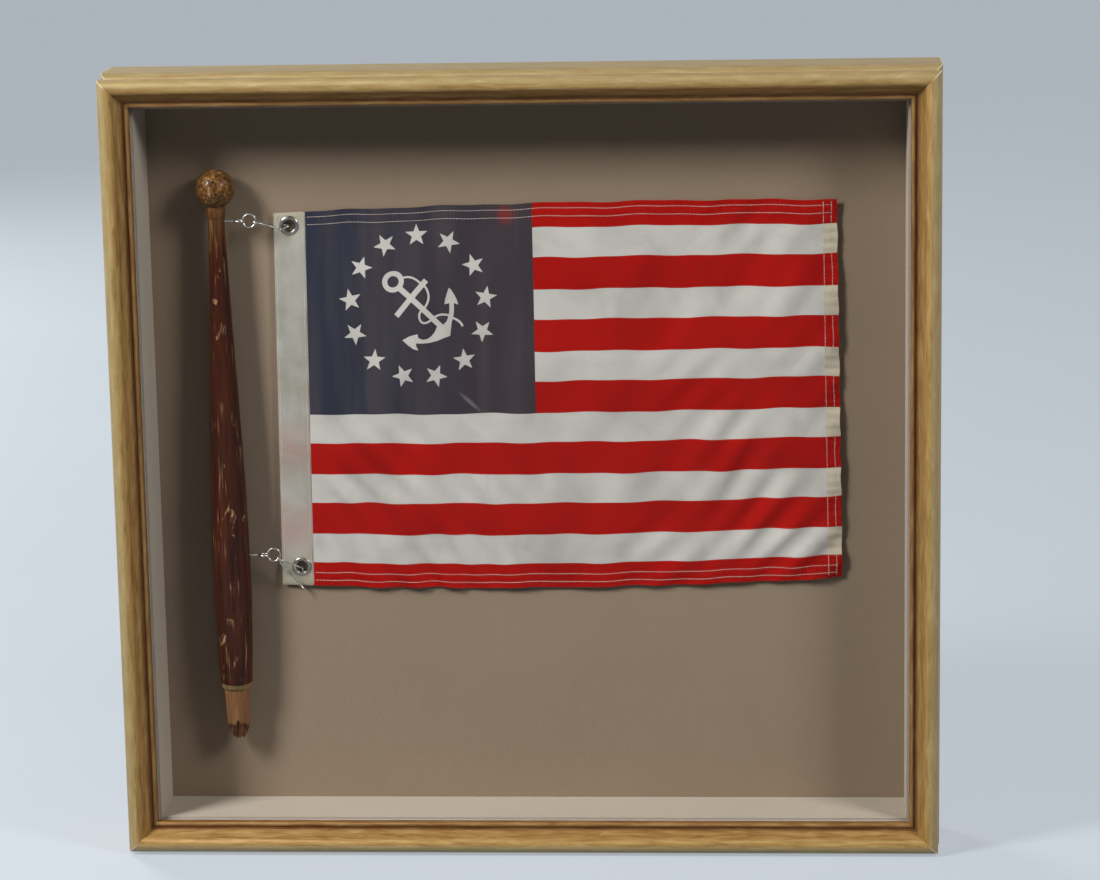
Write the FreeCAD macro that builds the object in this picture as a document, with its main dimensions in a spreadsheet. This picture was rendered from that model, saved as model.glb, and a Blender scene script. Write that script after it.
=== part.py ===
import FreeCAD, Part
import math
import os
from types import SimpleNamespace

# A glazed shadow-box case with a gilt moulding. It holds a boat flag and its broken staff.
# Millimetres and degrees. X to the right, Y to the rear, Z up; the origin is the centre of the case's foot.
V = FreeCAD.Vector
RIGHT, REAR, FRONT, UP = V(1, 0, 0), V(0, 1, 0), V(0, -1, 0), V(0, 0, 1)
ARC_SHARE = 0.45  # the most of a straight run that one bend may take
SHAFT_TURNS = 24  # straight tapers that follow the curve of the staff
doc = FreeCAD.newDocument("flag_display_case")

SIZES = (
    # contents and the room round them
    ("flag_width", 457.0), ("flag_height", 314.0), ("flag_drop", 86.5), ("flag_tilt", 0.3),
    ("staff_inset", 60.5), ("heading_gap", 41.9), ("fly_margin", 54.6),
    ("staff_top_margin", 55.0), ("staff_bottom_margin", 55.0),
    # moulding of the four rails
    ("moulding_width", 25.4), ("moulding_depth", 87.0), ("lip_projection", 6.4), ("lip_thickness", 7.0),
    ("lip_setback", 12.0), ("lip_bead_width", 4.2), ("lip_crest", 1.9), ("lip_round", 1.8),
    ("quirk_width", 1.6), ("quirk_depth", 1.2), ("cove_rise", 0.3), ("cove_sag", 0.5),
    ("side_flat", 49.0), ("side_groove_depth", 4.4), ("side_groove_front", 8.0),
    ("front_bead_radius", 6.5), ("front_bead_inset", 2.2), ("front_bead_outer", 130.0),
    ("front_bead_inner", 65.0),
    # glazing, spacers, liners and the rear tray
    ("glass_thickness", 2.2), ("glass_clearance", 0.8), ("spacer_thickness", 6.2), ("spacer_clearance", 0.2),
    ("liner_thickness", 1.8), ("tray_gap", 0.2), ("mat_thickness", 1.5), ("board_thickness", 5.0),
    ("panel_thickness", 3.2), ("panel_recess", 0.3), ("tray_clearance", 0.8),
    # joint nails across the mitres
    ("nail_leg", 8.0), ("nail_thickness", 0.6), ("nail_depth", 12.0), ("nail_pitch", 7.0),
    ("nail_clearance", 0.1),
    # turn buttons on the rear land
    ("button_inset", 150.0), ("button_reach", 26.0), ("button_width", 10.0), ("button_thickness", 1.6),
    ("button_gap", 0.3), ("button_screw_diameter", 3.8), ("button_head_diameter", 7.6),
    ("button_head_height", 1.8), ("screw_depth", 14.0), ("running_clearance", 0.05),
    # hanging straps, their rings and the bumpers
    ("hanger_drop", 62.0), ("strap_width", 10.0), ("strap_length", 37.0), ("strap_thickness", 1.2),
    ("barrel_diameter", 5.0), ("ring_bar_diameter", 2.4), ("d_ring_width", 18.0), ("d_ring_drop", 13.0),
    ("d_ring_bend", 2.4), ("d_ring_clearance", 0.1), ("ring_lift", 0.4), ("strap_screw_diameter", 3.4),
    ("strap_head_diameter", 6.4), ("strap_head_height", 1.6), ("strap_screw_start", 19.5),
    ("strap_screw_pitch", 11.5), ("bumper_inset", 40.0), ("bumper_diameter", 12.0), ("bumper_height", 6.0),
    # turned staff, from the ball down to the broken end
    ("ball_diameter", 31.6), ("collar_diameter", 14.6), ("collar_length", 9.0), ("neck_diameter", 13.6),
    ("upper_length", 52.0), ("upper_diameter", 16.4), ("swell_length", 50.0), ("swell_diameter", 19.8),
    ("body_length", 90.0), ("body_diameter", 26.8), ("belly_length", 93.0), ("belly_diameter", 31.0),
    ("lower_length", 55.0), ("lower_diameter", 29.6), ("foot_length", 45.0), ("foot_diameter", 26.2),
    ("shoulder_length", 5.0), ("shoulder_diameter", 24.2), ("tenon_length", 31.4), ("tenon_diameter", 20.8),
    ("tenon_end_diameter", 17.6), ("splinter_length", 15.0), ("splinter_diameter", 15.0),
    ("left_split_turn", 28.0), ("left_split_shift", 4.0), ("right_split_turn", 38.0),
    ("right_split_shift", 5.0), ("split_rise", 5.25), ("turning_step", 1.0),
    ("staff_stand_off", 0.5), ("staff_lean", 0.42),
    # cradles behind the staff
    ("cradle_width", 10.0), ("cradle_height", 12.0), ("cradle_clearance", 0.3), ("cradle_wrap", 4.0),
    ("cradle_screw_diameter", 3.0), ("cradle_head_diameter", 6.0), ("cradle_head_height", 1.6),
    ("cradle_screw_bite", 5.0), ("thread_clearance", 0.05), ("clear_hole", 0.2),
    # links between staff and flag
    ("eye_reach", 12.0), ("eye_diameter", 10.0), ("eye_wire", 1.6), ("eye_bite", 5.5),
    ("upper_eye_rise", 6.0), ("lower_eye_rise", 13.0),
    ("link_diameter", 12.0), ("link_wire", 1.4), ("link_gap", 0.3),
    ("snap_wire", 1.4), ("snap_bend", 1.9), ("snap_mouth", 1.6), ("snap_ease", 0.9), ("snap_overhang", 3.2),
    ("snap_lead", 6.0), ("snap_bow", 0.8), ("snap_sag", 2.2), ("snap_rise", 2.5), ("snap_lift", 1.0),
    ("snap_spread", 4.2), ("snap_slant", 1.5), ("snap_heel", 4.2), ("snap_toe", 2.0),
    # flag cloth, heading and grommets
    ("heading_width", 26.0), ("heading_thickness", 1.4), ("heading_stand_off", 3.0), ("seam_gap", 0.3),
    ("cloth_thickness", 0.7), ("cloth_gap", 0.3), ("fold_width", 43.0), ("top_fold_height", 1.4),
    ("bottom_fold_height", 2.6), ("grommet_diameter", 16.0), ("grommet_hole", 9.0), ("grommet_barrel", 10.4),
    ("grommet_flange", 0.5), ("grommet_roll", 1.0), ("grommet_inset", 14.5), ("grommet_drop", 15.3),
)

PLACES = (
    ("sight_width", "Sizes.staff_inset + Sizes.heading_gap + Sizes.flag_width + Sizes.fly_margin"),
    ("staff_length", "Sizes.ball_diameter + Sizes.collar_length + Sizes.upper_length + Sizes.swell_length"
     " + Sizes.body_length + Sizes.belly_length + Sizes.lower_length + Sizes.foot_length"
     " + Sizes.shoulder_length + Sizes.tenon_length + Sizes.splinter_length"),
    ("sight_height", "Sizes.staff_top_margin + staff_length + Sizes.staff_bottom_margin"),
    ("outer_width", "sight_width + 2 * Sizes.moulding_width"),
    ("outer_height", "sight_height + 2 * Sizes.moulding_width"),
    ("rabbet_width", "sight_width + 2 * Sizes.lip_projection"),
    ("rabbet_height", "sight_height + 2 * Sizes.lip_projection"),
    ("land_width", "Sizes.moulding_width - Sizes.lip_projection"),
    ("rear_y", "Sizes.side_flat / 2"),
    ("crest_y", "rear_y - Sizes.moulding_depth"),
    ("glass_front", "crest_y + Sizes.lip_setback + Sizes.lip_thickness"),
    ("glass_back", "glass_front + Sizes.glass_thickness"),
    ("panel_back", "rear_y - Sizes.panel_recess"),
    ("panel_front", "panel_back - Sizes.panel_thickness"),
    ("board_front", "panel_front - Sizes.board_thickness"),
    ("mat_front", "board_front - Sizes.mat_thickness"),
    ("liner_depth", "mat_front - Sizes.tray_gap - glass_back"),
    ("tray_width", "rabbet_width - 2 * Sizes.tray_clearance"),
    ("tray_height", "rabbet_height - 2 * Sizes.tray_clearance"),
    ("middle_z", "outer_height / 2"),
    ("sight_top", "outer_height - Sizes.moulding_width"),
    ("staff_x", "Sizes.staff_inset - sight_width / 2"),
    ("staff_top", "sight_top - Sizes.staff_top_margin"),
    ("staff_stand", "max(Sizes.ball_diameter; Sizes.belly_diameter) / 2 + Sizes.staff_stand_off"),
    ("heading_x", "staff_x + Sizes.heading_gap"),
    ("flag_top", "sight_top - Sizes.flag_drop"),
    ("flag_bottom", "flag_top - Sizes.flag_height"),
    ("cloth_stand", "Sizes.cloth_gap + max(Sizes.top_fold_height; Sizes.bottom_fold_height)"
     " + Sizes.cloth_thickness / 2"),
    ("barrel_y", "rear_y + Sizes.strap_thickness + Sizes.ring_lift + Sizes.ring_bar_diameter / 2"),
    ("hanger_z", "outer_height - Sizes.button_inset - Sizes.hanger_drop"),
)


def make_sheet(name, rows, prefix):
    """A sheet of named cells: a word in column A and its number or formula in column B."""
    sheet = doc.addObject("Spreadsheet::Sheet", name)
    for row, (alias, content) in enumerate(rows, 1):
        sheet.set(f"A{row}", alias)
        sheet.set(f"B{row}", prefix + str(content))
        sheet.setAlias(f"B{row}", alias)
    doc.recompute()
    return {alias: float(getattr(sheet, alias)) for alias, _ in rows}


dim = SimpleNamespace(**make_sheet("Sizes", SIZES, ""), **make_sheet("Places", PLACES, "="))
PARTS = []


def keep(piece, label):
    """Give a finished piece the name of its file."""
    piece.Label = label
    PARTS.append(piece)


def bind(piece, **expressions):
    """Tie sizes and places of a piece to cells of the sheets."""
    for prop, text in expressions.items():
        path = f".Placement.Base.{prop}" if prop in ("x", "y", "z") else prop
        piece.setExpression(path, text)
    return piece


def box(name, **expressions):
    return bind(doc.addObject("Part::Box", name), **expressions)


def rod(name, axis, **expressions):
    """A cylinder that runs from its place along axis."""
    piece = doc.addObject("Part::Cylinder", name)
    piece.Placement.Rotation = FreeCAD.Rotation(UP, axis)
    return bind(piece, **expressions)


def group(name, pieces):
    compound = doc.addObject("Part::Compound", name)
    compound.Links = pieces
    return compound


def fuse(name, pieces):
    joined = doc.addObject("Part::MultiFuse", name)
    joined.Shapes = pieces
    return joined


def cut(name, base, tools):
    result = doc.addObject("Part::Cut", name)
    result.Base = base
    result.Tool = group(name + "_tools", tools)
    return result


def solid(name, shape):
    """A piece that no feature makes, such as a bent wire."""
    piece = doc.addObject("Part::Feature", name)
    piece.Shape = shape
    return piece


def drawn(edge):
    """A line through two 2-D points, an arc through three or a smooth curve through more."""
    points = [V(a, b, 0) for a, b in edge]
    if len(points) == 2:
        return Part.LineSegment(*points)
    if len(points) == 3:
        return Part.Arc(*points)
    curve = Part.BSplineCurve()
    curve.interpolate(points)
    return curve


def outline_sketch(body, name, role, edges):
    """A closed sketch on a plane of the body, from edges given as 2-D points."""
    sketch = body.newObject("Sketcher::SketchObject", name)
    plane = next(item for item in body.Origin.OriginFeatures if item.Role == role)
    sketch.AttachmentSupport = (plane, "")
    sketch.MapMode = "FlatFace"
    for edge in edges:
        sketch.addGeometry(drawn(edge), False)
    return sketch


def chain(start, *steps):
    """Edges from point to point: each step holds the points that its edge passes and ends at."""
    edges = []
    for step in steps:
        edges.append((start,) + step)
        start = step[-1]
    return edges


def revolved_body(name, edges):
    """A body turned about Z from a half outline given as (radius, height) points."""
    body = doc.addObject("PartDesign::Body", name)
    sketch = outline_sketch(body, name + "_outline", "XZ_Plane", edges)
    turned = body.newObject("PartDesign::Revolution", name + "_turned")
    turned.Profile = sketch
    turned.ReferenceAxis = (sketch, ["V_Axis"])
    turned.Angle = 360
    return body


def screw(name, kind, seat, bite):
    """A pan-head screw of a kind: its head stands to the rear of its seat and its shank runs forward."""
    shank = rod(name + "_shank", FRONT, Radius=f"Sizes.{kind}_screw_diameter / 2")
    shank.Height = bite
    head = rod(name + "_head", REAR, Radius=f"Sizes.{kind}_head_diameter / 2",
               Height=f"Sizes.{kind}_head_height")
    for piece in (shank, head):
        piece.Placement.Base = seat
    return fuse(name, [shank, head])


def hole(name, place, axis, depth, diameter, clearance):
    """A round tool from place along axis, as wide as a named diameter with a named clearance round it."""
    tool = rod(name, axis, Radius=f"Sizes.{diameter} / 2 + Sizes.{clearance}")
    tool.Height = depth
    tool.Placement.Base = place
    return tool


def bent_wire(points, wire, bend):
    """A round wire along straight runs joined by tangent arcs."""
    ends = {0: (points[0], points[0]), len(points) - 1: (points[-1], points[-1])}
    edges = []
    for i in range(1, len(points) - 1):
        before = points[i - 1] - points[i]
        after = points[i + 1] - points[i]
        half_turn = (math.pi - before.getAngle(after)) / 2
        reach = min(bend * math.tan(half_turn), ARC_SHARE * before.Length, ARC_SHARE * after.Length)
        radius = reach / math.tan(half_turn)
        inward = (before.normalize() + after.normalize()).normalize()
        bow = points[i] + inward * (radius / math.cos(half_turn) - radius)
        ends[i] = (points[i] + before * reach, points[i] + after * reach)
        edges.append(Part.Arc(ends[i][0], bow, ends[i][1]).toShape())
    for i in range(len(points) - 1):
        edges.append(Part.LineSegment(ends[i][1], ends[i + 1][0]).toShape())
    path = Part.Wire(Part.__sortEdges__(edges))
    section = Part.Wire(Part.Circle(points[0], points[1] - points[0], wire / 2).toShape())
    return path.makePipeShell([section], True, False)


def case_point(x, stand, z):
    """A point in the case, by its distance in front of the backing mat."""
    return V(x, dim.mat_front - stand, z)


# The four rails, each drawn as the bottom rail and turned into its place
def moulding_edges():
    """Section of the moulding as (Y, distance in from the outer side)."""
    def at(depth, inward):
        return dim.rear_y - depth, inward

    bead_depth = dim.moulding_depth - dim.front_bead_radius
    bead_inward = dim.front_bead_inset + dim.front_bead_radius

    def bead(degrees):
        """A point on the front bead, counted from its crest towards the sight."""
        turn = math.radians(degrees)
        return at(bead_depth + dim.front_bead_radius * math.cos(turn),
                  bead_inward + dim.front_bead_radius * math.sin(turn))

    bead_start = bead(-dim.front_bead_outer)
    bead_middle = bead((dim.front_bead_inner - dim.front_bead_outer) / 2)
    bead_end = bead(dim.front_bead_inner)

    half_turn = math.atan(dim.side_groove_depth / dim.side_groove_front)
    shoulder_radius = math.hypot(dim.side_groove_front, dim.side_groove_depth) / 2 / math.sin(half_turn)
    shoulder = at(dim.side_flat + shoulder_radius * math.sin(half_turn),
                  shoulder_radius * (1 - math.cos(half_turn)))
    groove = at(dim.side_flat + dim.side_groove_front, dim.side_groove_depth)

    lip_front = dim.moulding_depth - dim.lip_setback
    lip_rear = lip_front - dim.lip_thickness
    lip_start = dim.moulding_width - dim.lip_bead_width
    quirk_floor = lip_front - dim.quirk_depth
    cove_end = at(lip_front + dim.cove_rise, lip_start - dim.quirk_width)
    run, rise = cove_end[0] - bead_end[0], cove_end[1] - bead_end[1]
    sag = dim.cove_sag / math.hypot(run, rise)
    cove = (bead_end[0] + run / 2 + rise * sag, bead_end[1] + rise / 2 - run * sag)
    return chain(
        at(0, 0), (at(dim.side_flat, 0),), (shoulder, groove), (bead_start,), (bead_middle, bead_end),
        (cove, cove_end), (at(quirk_floor, lip_start - dim.quirk_width),), (at(quirk_floor, lip_start),),
        (at(lip_front, lip_start + dim.lip_crest), at(lip_front - dim.lip_round, dim.moulding_width)),
        (at(lip_rear, dim.moulding_width),), (at(lip_rear, dim.land_width),), (at(0, dim.land_width),),
        (at(0, 0),))


def rail_place(side):
    """Placement that turns the bottom rail's frame into each side of the case."""
    turn, base = {
        "bottom": (0, V(0, 0, 0)),
        "top": (180, V(0, 0, dim.outer_height)),
        "left": (90, V(-dim.outer_width / 2, 0, dim.middle_z)),
        "right": (-90, V(dim.outer_width / 2, 0, dim.middle_z)),
    }[side]
    return FreeCAD.Placement(base, FreeCAD.Rotation(REAR, turn))


def make_rail(side, length):
    body = doc.addObject("PartDesign::Body", side + "_rail_body")
    pad = body.newObject("PartDesign::Pad", side + "_pad")
    pad.Profile = outline_sketch(body, side + "_section", "YZ_Plane", moulding_edges())
    pad.Midplane = True
    pad.setExpression("Length", "Places." + length)
    half = getattr(dim, length) / 2
    reach = 2 * dim.moulding_width
    for word, end in (("start", -1), ("end", 1)):
        mitre = outline_sketch(body, f"{side}_mitre_{word}", "XZ_Plane", chain(
            (end * half, 0), ((end * (half + reach), 0),), ((end * (half + reach), reach),),
            ((end * (half - reach), reach),), ((end * half, 0),)))
        pocket = body.newObject("PartDesign::Pocket", f"{side}_mitre_cut_{word}")
        pocket.Profile = mitre
        pocket.Midplane = True
        pocket.setExpression("Length", "4 * Sizes.moulding_depth")
    body.Placement = rail_place(side)
    return body


RAILS = {"bottom": "outer_width", "top": "outer_width", "left": "outer_height", "right": "outer_height"}
rail_bodies = {side: make_rail(side, length) for side, length in RAILS.items()}
rail_tools = {side: [] for side in RAILS}


# Joint nails: an L of thin plate across each mitre, two to a corner, sunk from the rear
def nail_legs(name, corner_x, corner_z, inset, clearance):
    def low_end(corner, half_side, size):
        apex = corner * (half_side - inset + clearance)
        return apex if corner < 0 else apex - size

    legs = []
    for leg, (along_x, along_z) in {"flat": (dim.nail_leg, dim.nail_thickness),
                                    "upright": (dim.nail_thickness, dim.nail_leg)}.items():
        plate = doc.addObject("Part::Box", f"{name}_{leg}")
        plate.Length, plate.Height = along_x + 2 * clearance, along_z + 2 * clearance
        plate.Width = dim.nail_depth + clearance
        plate.Placement.Base = V(low_end(corner_x, dim.outer_width / 2, plate.Length.Value),
                                 dim.rear_y - plate.Width.Value,
                                 dim.middle_z + low_end(corner_z, dim.outer_height / 2, plate.Height.Value))
        legs.append(plate)
    return fuse(name, legs)


CORNERS = (("left", -1, "bottom", -1), ("left", -1, "top", 1),
           ("right", 1, "bottom", -1), ("right", 1, "top", 1))
nails = []
for upright, corner_x, level, corner_z in CORNERS:
    for row, step in (("outer", -0.5), ("inner", 0.5)):
        inset = dim.land_width / 2 + step * dim.nail_pitch
        tag = f"{level}_{upright}_{row}"
        nails.append(nail_legs(f"nail_{tag}", corner_x, corner_z, inset, 0))
        for side in (upright, level):
            slot = nail_legs(f"nail_slot_{side}_{tag}", corner_x, corner_z, inset, dim.nail_clearance)
            rail_tools[side].append(slot)
keep(group("corner_v_nails", nails), "corner_v_nails")


# Turn buttons: they lie along the rails, open, and turn a quarter inward over the rear panel
def make_button(name, place):
    half = dim.button_width / 2
    tip = dim.button_reach - half
    body = doc.addObject("PartDesign::Body", name + "_body")
    plate = outline_sketch(body, name + "_outline", "XZ_Plane", chain(
        (0, half), ((-tip, half),), ((-dim.button_reach, 0), (-tip, -half)), ((0, -half),),
        ((half, 0), (0, half))))
    bore = Part.Circle(V(0, 0, 0), UP, dim.button_screw_diameter / 2 + dim.running_clearance)
    plate.addGeometry(bore, False)
    pad = body.newObject("PartDesign::Pad", name + "_pad")
    pad.Profile = plate
    pad.Reversed = True
    pad.setExpression("Length", "Sizes.button_thickness")
    body.Placement = place
    keep(body, name)


BUTTONS = {"bottom": ("left", "right"), "top": ("right", "left"),
           "left": ("upper", "lower"), "right": ("lower", "upper")}
button_lift = dim.button_gap + dim.button_thickness + dim.running_clearance
button_screws = []
for side, length in RAILS.items():
    frame = rail_place(side)
    for word, end in zip(BUTTONS[side], (-1, 1)):
        name = f"turn_button_{side}_{word}"
        along = end * (getattr(dim, length) / 2 - dim.button_inset)
        seat = frame.multVec(V(along, dim.rear_y, dim.land_width / 2))
        make_button(name, FreeCAD.Placement(seat + REAR * dim.button_gap, frame.Rotation))
        button_screws.append(screw(name + "_screw", "button", seat + REAR * button_lift,
                                   dim.screw_depth + button_lift))
        rail_tools[side].append(hole(name + "_pilot", seat, FRONT, dim.screw_depth + dim.thread_clearance,
                                     "button_screw_diameter", "thread_clearance"))
keep(group("turn_button_screws", button_screws), "turn_button_screws")


# Hanging straps on the side rails, their screws and their rings
def d_ring_shape(bar):
    """A closed D of round wire that hangs from the middle of its straight bar."""
    half = (dim.d_ring_width - dim.ring_bar_diameter) / 2
    legs = dim.d_ring_drop - half
    bend = dim.d_ring_bend
    slope = math.sqrt(0.5)

    def at(x, z):
        return bar + V(x, 0, z)

    def line(*ends):
        return Part.LineSegment(*ends).toShape()

    def arc(*points):
        return Part.Arc(*points).toShape()

    corner = bend * (1 - slope)
    path = Part.Wire([
        line(at(bend - half, 0), at(half - bend, 0)),
        arc(at(half - bend, 0), at(half - corner, -corner), at(half, -bend)),
        line(at(half, -bend), at(half, -legs)),
        arc(at(half, -legs), at(half * slope, -legs - half * slope), at(0, -legs - half)),
        arc(at(0, -legs - half), at(-half * slope, -legs - half * slope), at(-half, -legs)),
        line(at(-half, -legs), at(-half, -bend)),
        arc(at(-half, -bend), at(corner - half, -corner), at(bend - half, 0)),
    ])
    section = Part.Wire(Part.Circle(at(bend - half, 0), RIGHT, dim.ring_bar_diameter / 2).toShape())
    return path.makePipeShell([section], True, False)


def make_hanger(side, sign):
    centre = sign * (dim.outer_width - dim.land_width) / 2
    left_edge = f"{centre} - Sizes.strap_width / 2"
    end_z = "Places.hanger_z - Sizes.strap_length + Sizes.strap_width / 2"
    plate = box(f"{side}_strap_plate", Length="Sizes.strap_width", Width="Sizes.strap_thickness",
                Height="Sizes.strap_length - Sizes.strap_width / 2", x=left_edge, y="Places.rear_y", z=end_z)
    end = rod(f"{side}_strap_end", REAR, Radius="Sizes.strap_width / 2", Height="Sizes.strap_thickness",
              x=f"{centre}", y="Places.rear_y", z=end_z)
    barrel = rod(f"{side}_barrel", RIGHT, Radius="Sizes.barrel_diameter / 2", Height="Sizes.strap_width",
                 x=left_edge, y="Places.barrel_y", z="Places.hanger_z")
    bore_radius = "Sizes.ring_bar_diameter / 2 + Sizes.d_ring_clearance"
    holes = [rod(f"{side}_barrel_bore", RIGHT, Radius=bore_radius, Height="Sizes.strap_width",
                 x=left_edge, y="Places.barrel_y", z="Places.hanger_z")]
    screws = []
    for k in range(2):
        seat = V(centre, dim.rear_y, dim.hanger_z - dim.strap_screw_start - k * dim.strap_screw_pitch)
        holes.append(hole(f"{side}_strap_hole_{k}", seat, REAR, dim.strap_thickness,
                          "strap_screw_diameter", "clear_hole"))
        rail_tools[side].append(hole(f"{side}_strap_pilot_{k}", seat, FRONT,
                                     dim.screw_depth + dim.thread_clearance,
                                     "strap_screw_diameter", "thread_clearance"))
        screws.append(screw(f"{side}_strap_screw_{k}", "strap", seat + REAR * dim.strap_thickness,
                            dim.screw_depth + dim.strap_thickness))
    blank = fuse(f"{side}_strap_blank", [plate, end, barrel])
    keep(cut(f"{side}_hanger_strap", blank, holes), f"{side}_hanger_strap")
    keep(solid(f"{side}_d_ring", d_ring_shape(V(centre, dim.barrel_y, dim.hanger_z))), f"{side}_d_ring")
    return screws


keep(group("hanger_screws", make_hanger("left", -1) + make_hanger("right", 1)), "hanger_screws")
for side, sign in (("left", -1), ("right", 1)):
    bumper_x = f"{sign} * (Places.outer_width / 2 - Sizes.bumper_inset)"
    keep(rod(f"{side}_bumper", REAR, Radius="Sizes.bumper_diameter / 2", Height="Sizes.bumper_height",
             x=bumper_x, y="Places.rear_y", z="Places.land_width / 2"), f"{side}_bumper")
for side in RAILS:
    keep(cut(f"{side}_rail", rail_bodies[side], rail_tools[side]), f"{side}_rail")

# Glass behind the lip, then foam spacers and mat liners round the inside
keep(box("glass_pane", Length="Places.rabbet_width - 2 * Sizes.glass_clearance",
         Height="Places.rabbet_height - 2 * Sizes.glass_clearance", Width="Sizes.glass_thickness",
         x="-Places.rabbet_width / 2 + Sizes.glass_clearance", y="Places.glass_front",
         z="Places.middle_z - Places.rabbet_height / 2 + Sizes.glass_clearance"), "glass_pane")
STRIPS = (
    ("spacer", "Sizes.spacer_clearance", "Sizes.spacer_thickness"),
    ("liner", "(Sizes.spacer_clearance + Sizes.spacer_thickness)", "Sizes.liner_thickness"),
)
for word, inset, thick in STRIPS:
    half_inside = f"(Places.rabbet_width / 2 - {inset} - {thick} / 2)"
    half_height = f"(Places.rabbet_height / 2 - {inset} - {thick} / 2)"
    for side, sign in (("bottom", -1), ("top", 1)):
        keep(box(f"{side}_{word}", Length=f"2 * {half_inside} + {thick}", Width="Places.liner_depth",
                 Height=thick, x=f"-{half_inside} - {thick} / 2", y="Places.glass_back",
                 z=f"Places.middle_z + {sign} * {half_height} - {thick} / 2"), f"{side}_{word}")
    for side, sign in (("left", -1), ("right", 1)):
        keep(box(f"{side}_{word}", Length=thick, Width="Places.liner_depth",
                 Height=f"2 * {half_height} - {thick}",
                 x=f"{sign} * {half_inside} - {thick} / 2", y="Places.glass_back",
                 z=f"Places.middle_z - {half_height} + {thick} / 2"), f"{side}_{word}")

# Staff: the turned stations of its shaft, in order below the ball
STATIONS = ("collar_length neck_diameter", "upper_length upper_diameter", "swell_length swell_diameter",
            "body_length body_diameter", "belly_length belly_diameter", "lower_length lower_diameter",
            "foot_length foot_diameter")


def staff_stations():
    """Radius and height at each station, with the ball's top at zero."""
    height = -dim.ball_diameter
    stations = []
    for words in STATIONS:
        length, diameter = words.split()
        height -= getattr(dim, length)
        stations.append((getattr(dim, diameter) / 2, height))
    return stations


def shaft_tapers(stations):
    """Ends of short tapers along a smooth curve through the stations, as (radius, height)."""
    curve = drawn(stations)
    span = (curve.LastParameter - curve.FirstParameter) / SHAFT_TURNS
    ends = [curve.value(curve.FirstParameter + span * i) for i in range(SHAFT_TURNS + 1)]
    return [(end.x, end.y) for end in ends]


SHAFT_STATIONS = staff_stations()
SHAFT = shaft_tapers(SHAFT_STATIONS)


def shaft_radius(height):
    """Radius of the shaft at a height, on the taper that turns it there."""
    for (upper_radius, upper), (lower_radius, lower) in zip(SHAFT, SHAFT[1:]):
        if lower <= height <= upper:
            return upper_radius + (lower_radius - upper_radius) * (upper - height) / (upper - lower)
    return SHAFT[0][0] if height > SHAFT[0][1] else SHAFT[-1][0]


def staff_axis(z):
    """The point of the leaning axis of the staff at a height of the case."""
    above = dim.staff_top - dim.staff_length / 2 - z
    return case_point(dim.staff_x + math.tan(math.radians(dim.staff_lean)) * above, dim.staff_stand, z)


def staff_edges():
    ball = dim.ball_diameter / 2
    collar = dim.collar_diameter / 2
    collar_top = -ball - math.sqrt(ball**2 - collar**2)
    shoulder = dim.shoulder_diameter / 2
    neck_z, foot_z = SHAFT[0][1], SHAFT[-1][1]
    shoulder_z = foot_z - dim.shoulder_length
    tenon_z = shoulder_z - dim.tenon_length
    end_z = tenon_z - dim.splinter_length
    return chain(
        (0, 0), ((ball, -ball), (collar, collar_top)), ((collar, neck_z + dim.turning_step),), (SHAFT[0],),
        *((end,) for end in SHAFT[1:]), ((shoulder, foot_z - dim.turning_step),), ((shoulder, shoulder_z),),
        ((dim.tenon_diameter / 2, shoulder_z),), ((dim.tenon_end_diameter / 2, tenon_z),),
        ((dim.splinter_diameter / 2, end_z),), ((0, end_z),), ((0, 0),))


staff_blank = revolved_body("staff_blank", staff_edges())
lean = FreeCAD.Rotation(REAR, -dim.staff_lean)
staff_middle = staff_axis(dim.staff_top - dim.staff_length / 2)
staff_blank.Placement = FreeCAD.Placement(staff_middle + lean.multVec(UP * (dim.staff_length / 2)), lean)
staff_tools = []

# Broken end: two slanted splits leave a jagged point
staff_foot = staff_axis(dim.staff_top - dim.staff_length)
SPLITS = (("left_split", dim.left_split_turn, -dim.left_split_shift),
          ("right_split", -dim.right_split_turn, dim.right_split_shift))
for name, turn, shift in SPLITS:
    wedge = doc.addObject("Part::Box", name)
    wedge.Length = wedge.Width = 2 * dim.tenon_diameter
    wedge.Height = dim.splinter_length
    tilt = FreeCAD.Rotation(REAR, turn)
    corner = tilt.multVec(V(-dim.tenon_diameter, -dim.tenon_diameter, -dim.splinter_length))
    wedge.Placement = FreeCAD.Placement(staff_foot + V(shift, 0, dim.split_rise) + corner, tilt)
    staff_tools.append(wedge)

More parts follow.
